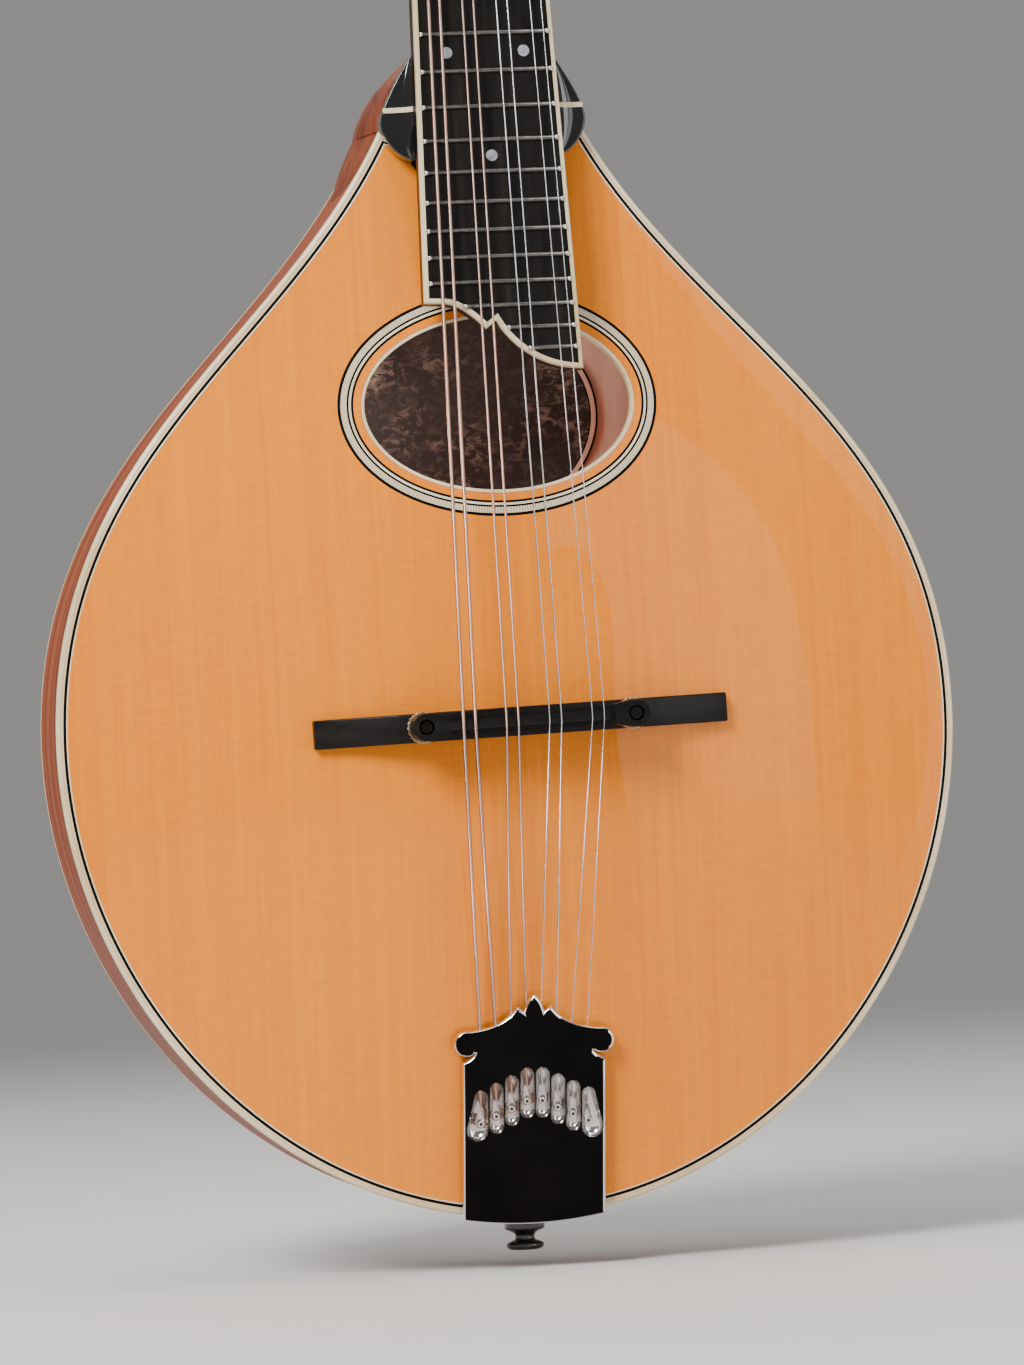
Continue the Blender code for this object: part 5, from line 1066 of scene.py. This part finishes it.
def scoop(index):
    """Rows of (x, depth, z) for one teardrop, from its rim to its deepest place."""
    peg_x, peg_z = PEGS[index]
    lean, wide = {0: (-1.1, 3.1), 7: (1.1, 3.1)}.get(index, (0.0, 2.08))
    high, low = (peg_x, peg_z + 7.6), (peg_x + lean, peg_z - 4.7 + wide)
    upper, lower = arc(high, 1.95, 0, 180, 14), arc(low, wide, 180, 360, 18)
    left = [between(upper[-1], lower[0], k / 10) for k in range(1, 10)]
    right = [between(lower[-1], upper[0], k / 10) for k in range(1, 10)]
    rows = []
    for share in (1.0, 0.97, 0.92, 0.85, 0.76, 0.66, 0.54, 0.4, 0.25, 0.1):
        row = []
        for point in upper + left + lower + right:
            down = min(1.0, max(0.0, (high[1] - point[1]) / (high[1] - low[1])))
            spine = (peg_x + lean * down, min(high[1], max(low[1], point[1])))
            x, z = between(spine, point, share)
            row.append((x, 2.3 * (1 - share ** 2.4) ** 0.62, z))
        rows.append(row)
    return rows


def tailpiece():
    """Plate with a rolled edge and a scoop for each string's peg; its face is painted near black as a
    painted dark reflection, and the roll's outer part and its steep sides are painted bright as a painted
    highlight.
    """
    face, roll = -3.0, rounding(0.9, 1.1, 6)
    shape = Shape()
    outline = anticlockwise(tail_outline())
    rows = [(0.0, 0.0)] + [(inset, face + fall) for inset, fall in roll]
    # The side wall and the roll's outer part take the bright chrome, a painted highlight; the face takes
    # the near-black chrome, a painted dark reflection.
    ids = shape.grid([placed(TAILPIECE, offset(outline, inset, 1.6), y) for inset, y in rows],
                     numbers=[1, 1, 1, 1, 1, 0, 0])
    count = len(outline)
    # Steep stretches of the roll also get the painted highlight.
    for i in range(count):
        (x0, z0), (x1, z1) = outline[i], outline[(i + 1) % count]
        if z1 - z0 > 0.6 * math.hypot(x1 - x0, z1 - z0):
            shape.numbers[5 * count + i] = shape.numbers[6 * count + i] = 1
    holes = []
    for index in range(len(PEGS)):
        scoop_ids = shape.grid([[local(TAILPIECE, x, face + depth, z) for x, depth, z in row]
                                for row in scoop(index)], numbers=[2] * 9)
        shape.cap(scoop_ids[-1], 2)
        holes.append(scoop_ids[0])
    shape.cap(ids[-1], holes=holes)
    shape.cap(ids[0])
    shape.build("cast_tailpiece", "mirror bright scoop", "polished_metal", "tailpiece", 40)


def pegs():
    """A short hooked peg in each scoop, in the bright chrome as a painted highlight, its eye painted
    black as painted shade.
    """
    shape = Shape()
    for peg in PEGS:
        rows = [placed(TAILPIECE, circle(peg, radius, 20), y) for y, radius in
                ((-0.7, 0.95), (-1.6, 0.85), (-2.3, 0.95), (-2.6, 0.8), (-2.62, 0.5), (-2.3, 0.42))]
        # The last band and the sunk end are black: painted shade.
        ids = shape.grid(rows, numbers=[0, 0, 0, 0, 1])
        shape.cap(ids[-1], 1)
        shape.cap(ids[0])
    shape.build("string_pegs", "bright pin", "polished_metal", smooth=40)


def tail_strap():
    """Thin strap from the tailpiece over the body's end and down the rim."""
    rows = []
    for x, depth in [(-x, depth) for x, depth in STRAP] + list(reversed(STRAP[:-1])):
        inner = TAIL + (x - TAILPIECE_X) ** 2 / (2 * TAIL_RADIUS) - 0.15
        row = [(0.0, 1.6), (-0.9, 1.6), (-0.95, -depth * 0.5), (-0.9, -depth + 0.3), (-0.6, -depth),
               (-0.3, -depth), (0.0, -depth + 0.3), (0.0, -depth * 0.5)]
        rows.append([at(x - TAILPIECE_X, inner + along, out) for along, out in row])
    skin(rows, "tail_strap", "bright", "polished_metal", None, 40)


def strings():
    """Each string in two lengths that meet on the saddle."""
    for name, radius in zip(STRINGS, STRING_RADII):
        looks = ("wound", "wound_string") if radius > 0.3 else ("steel", "plain_string")
        for part, still, moving in STRING_LENGTHS:
            obj = refined("string_" + name, *looks, body=None, smooth=70, part=part,
                          keep=lambda middle: (middle.z > SPLIT_Z * MM) == (part == "speaking"))
            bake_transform(obj)


def studio():
    """Pale round floor that fades out, soft lights and the camera."""
    scene = bpy.context.scene
    rim = [(x, y, CAD_BOX[0][2] - FLOOR_DROP) for x, y in circle((0, 0), FLOOR_REACH, 96)]
    mesh = bpy.data.meshes.new("studio_floor")
    mesh.from_pydata(rim, [], [list(range(len(rim)))])
    mesh.materials.append(floor_paint())
    floor = bpy.data.objects.new("studio_floor", mesh)
    scene.collection.objects.link(floor)
    scene.world = bpy.data.worlds.new("studio")
    scene.world.use_nodes = True
    background = scene.world.node_tree.nodes["Background"]
    background.inputs["Color"].default_value = WORLD_COLOUR
    background.inputs["Strength"].default_value = WORLD_STRENGTH
    for name, place, size, power in LIGHTS:
        light = bpy.data.lights.new(name, "AREA")
        light.shape = "ELLIPSE" if name == "oval" else "RECTANGLE"
        light.size, light.size_y = size
        light.energy = power
        lamp = bpy.data.objects.new(name, light)
        aim = (LIGHT_AIM - Vector(place)).to_track_quat("-Z", "Y").to_matrix().to_4x4()
        lamp.matrix_world = Matrix.Translation(place) @ aim
        lamp.visible_camera = False
        scene.collection.objects.link(lamp)
    camera = bpy.data.objects.new("camera", bpy.data.cameras.new("camera"))
    camera.matrix_world = Matrix.Translation(CAMERA_PLACE) @ Matrix(CAMERA_TURN).to_4x4()
    camera.data.lens = LENS
    camera.data.sensor_width = SENSOR
    camera.data.clip_start = CLIP_START
    scene.collection.objects.link(camera)
    scene.camera = camera


carved_top()
hole_ring(0.0, ((0.18, 0, -0.12), (0.62, 0, 0.05), (0.18, 1, 0.02)), PLATE, "hole_edge_binding",
          "cream rust", "ivory_binding", "soundhole_binding")
hole_ring(3.02, ((0.64, 1, 0.04), (0.62, 0, 0.04), (0.56, 1, 0.04), (1.68, 2, 0.05), (0.8, 1, 0.04)),
          1.15, "hole_ring", "cream_pale black_line ticked", "rosette_inlay", "rosette")
body_edges()
carved_back()
label()
neck()
heel()
headstock_face()
refined("truss_rod_cover", "pin", "ebony", bevel=0.3)
fingerboard()
frets()
dots()
riser()
shoulder_caps()
nut()
end_pin()
tuners()
bridge()
tailpiece()
tail_strap()
pegs()
strings()
for key, nodes in (("inside", "top_lining back_lining head_block tail_block top_brace"),
                   ("dull_steel", "truss_rod truss_rod_nut")):
    for node in nodes.split():
        NODES[node].data.materials.clear()
        NODES[node].data.materials.append(M[key])
studio()
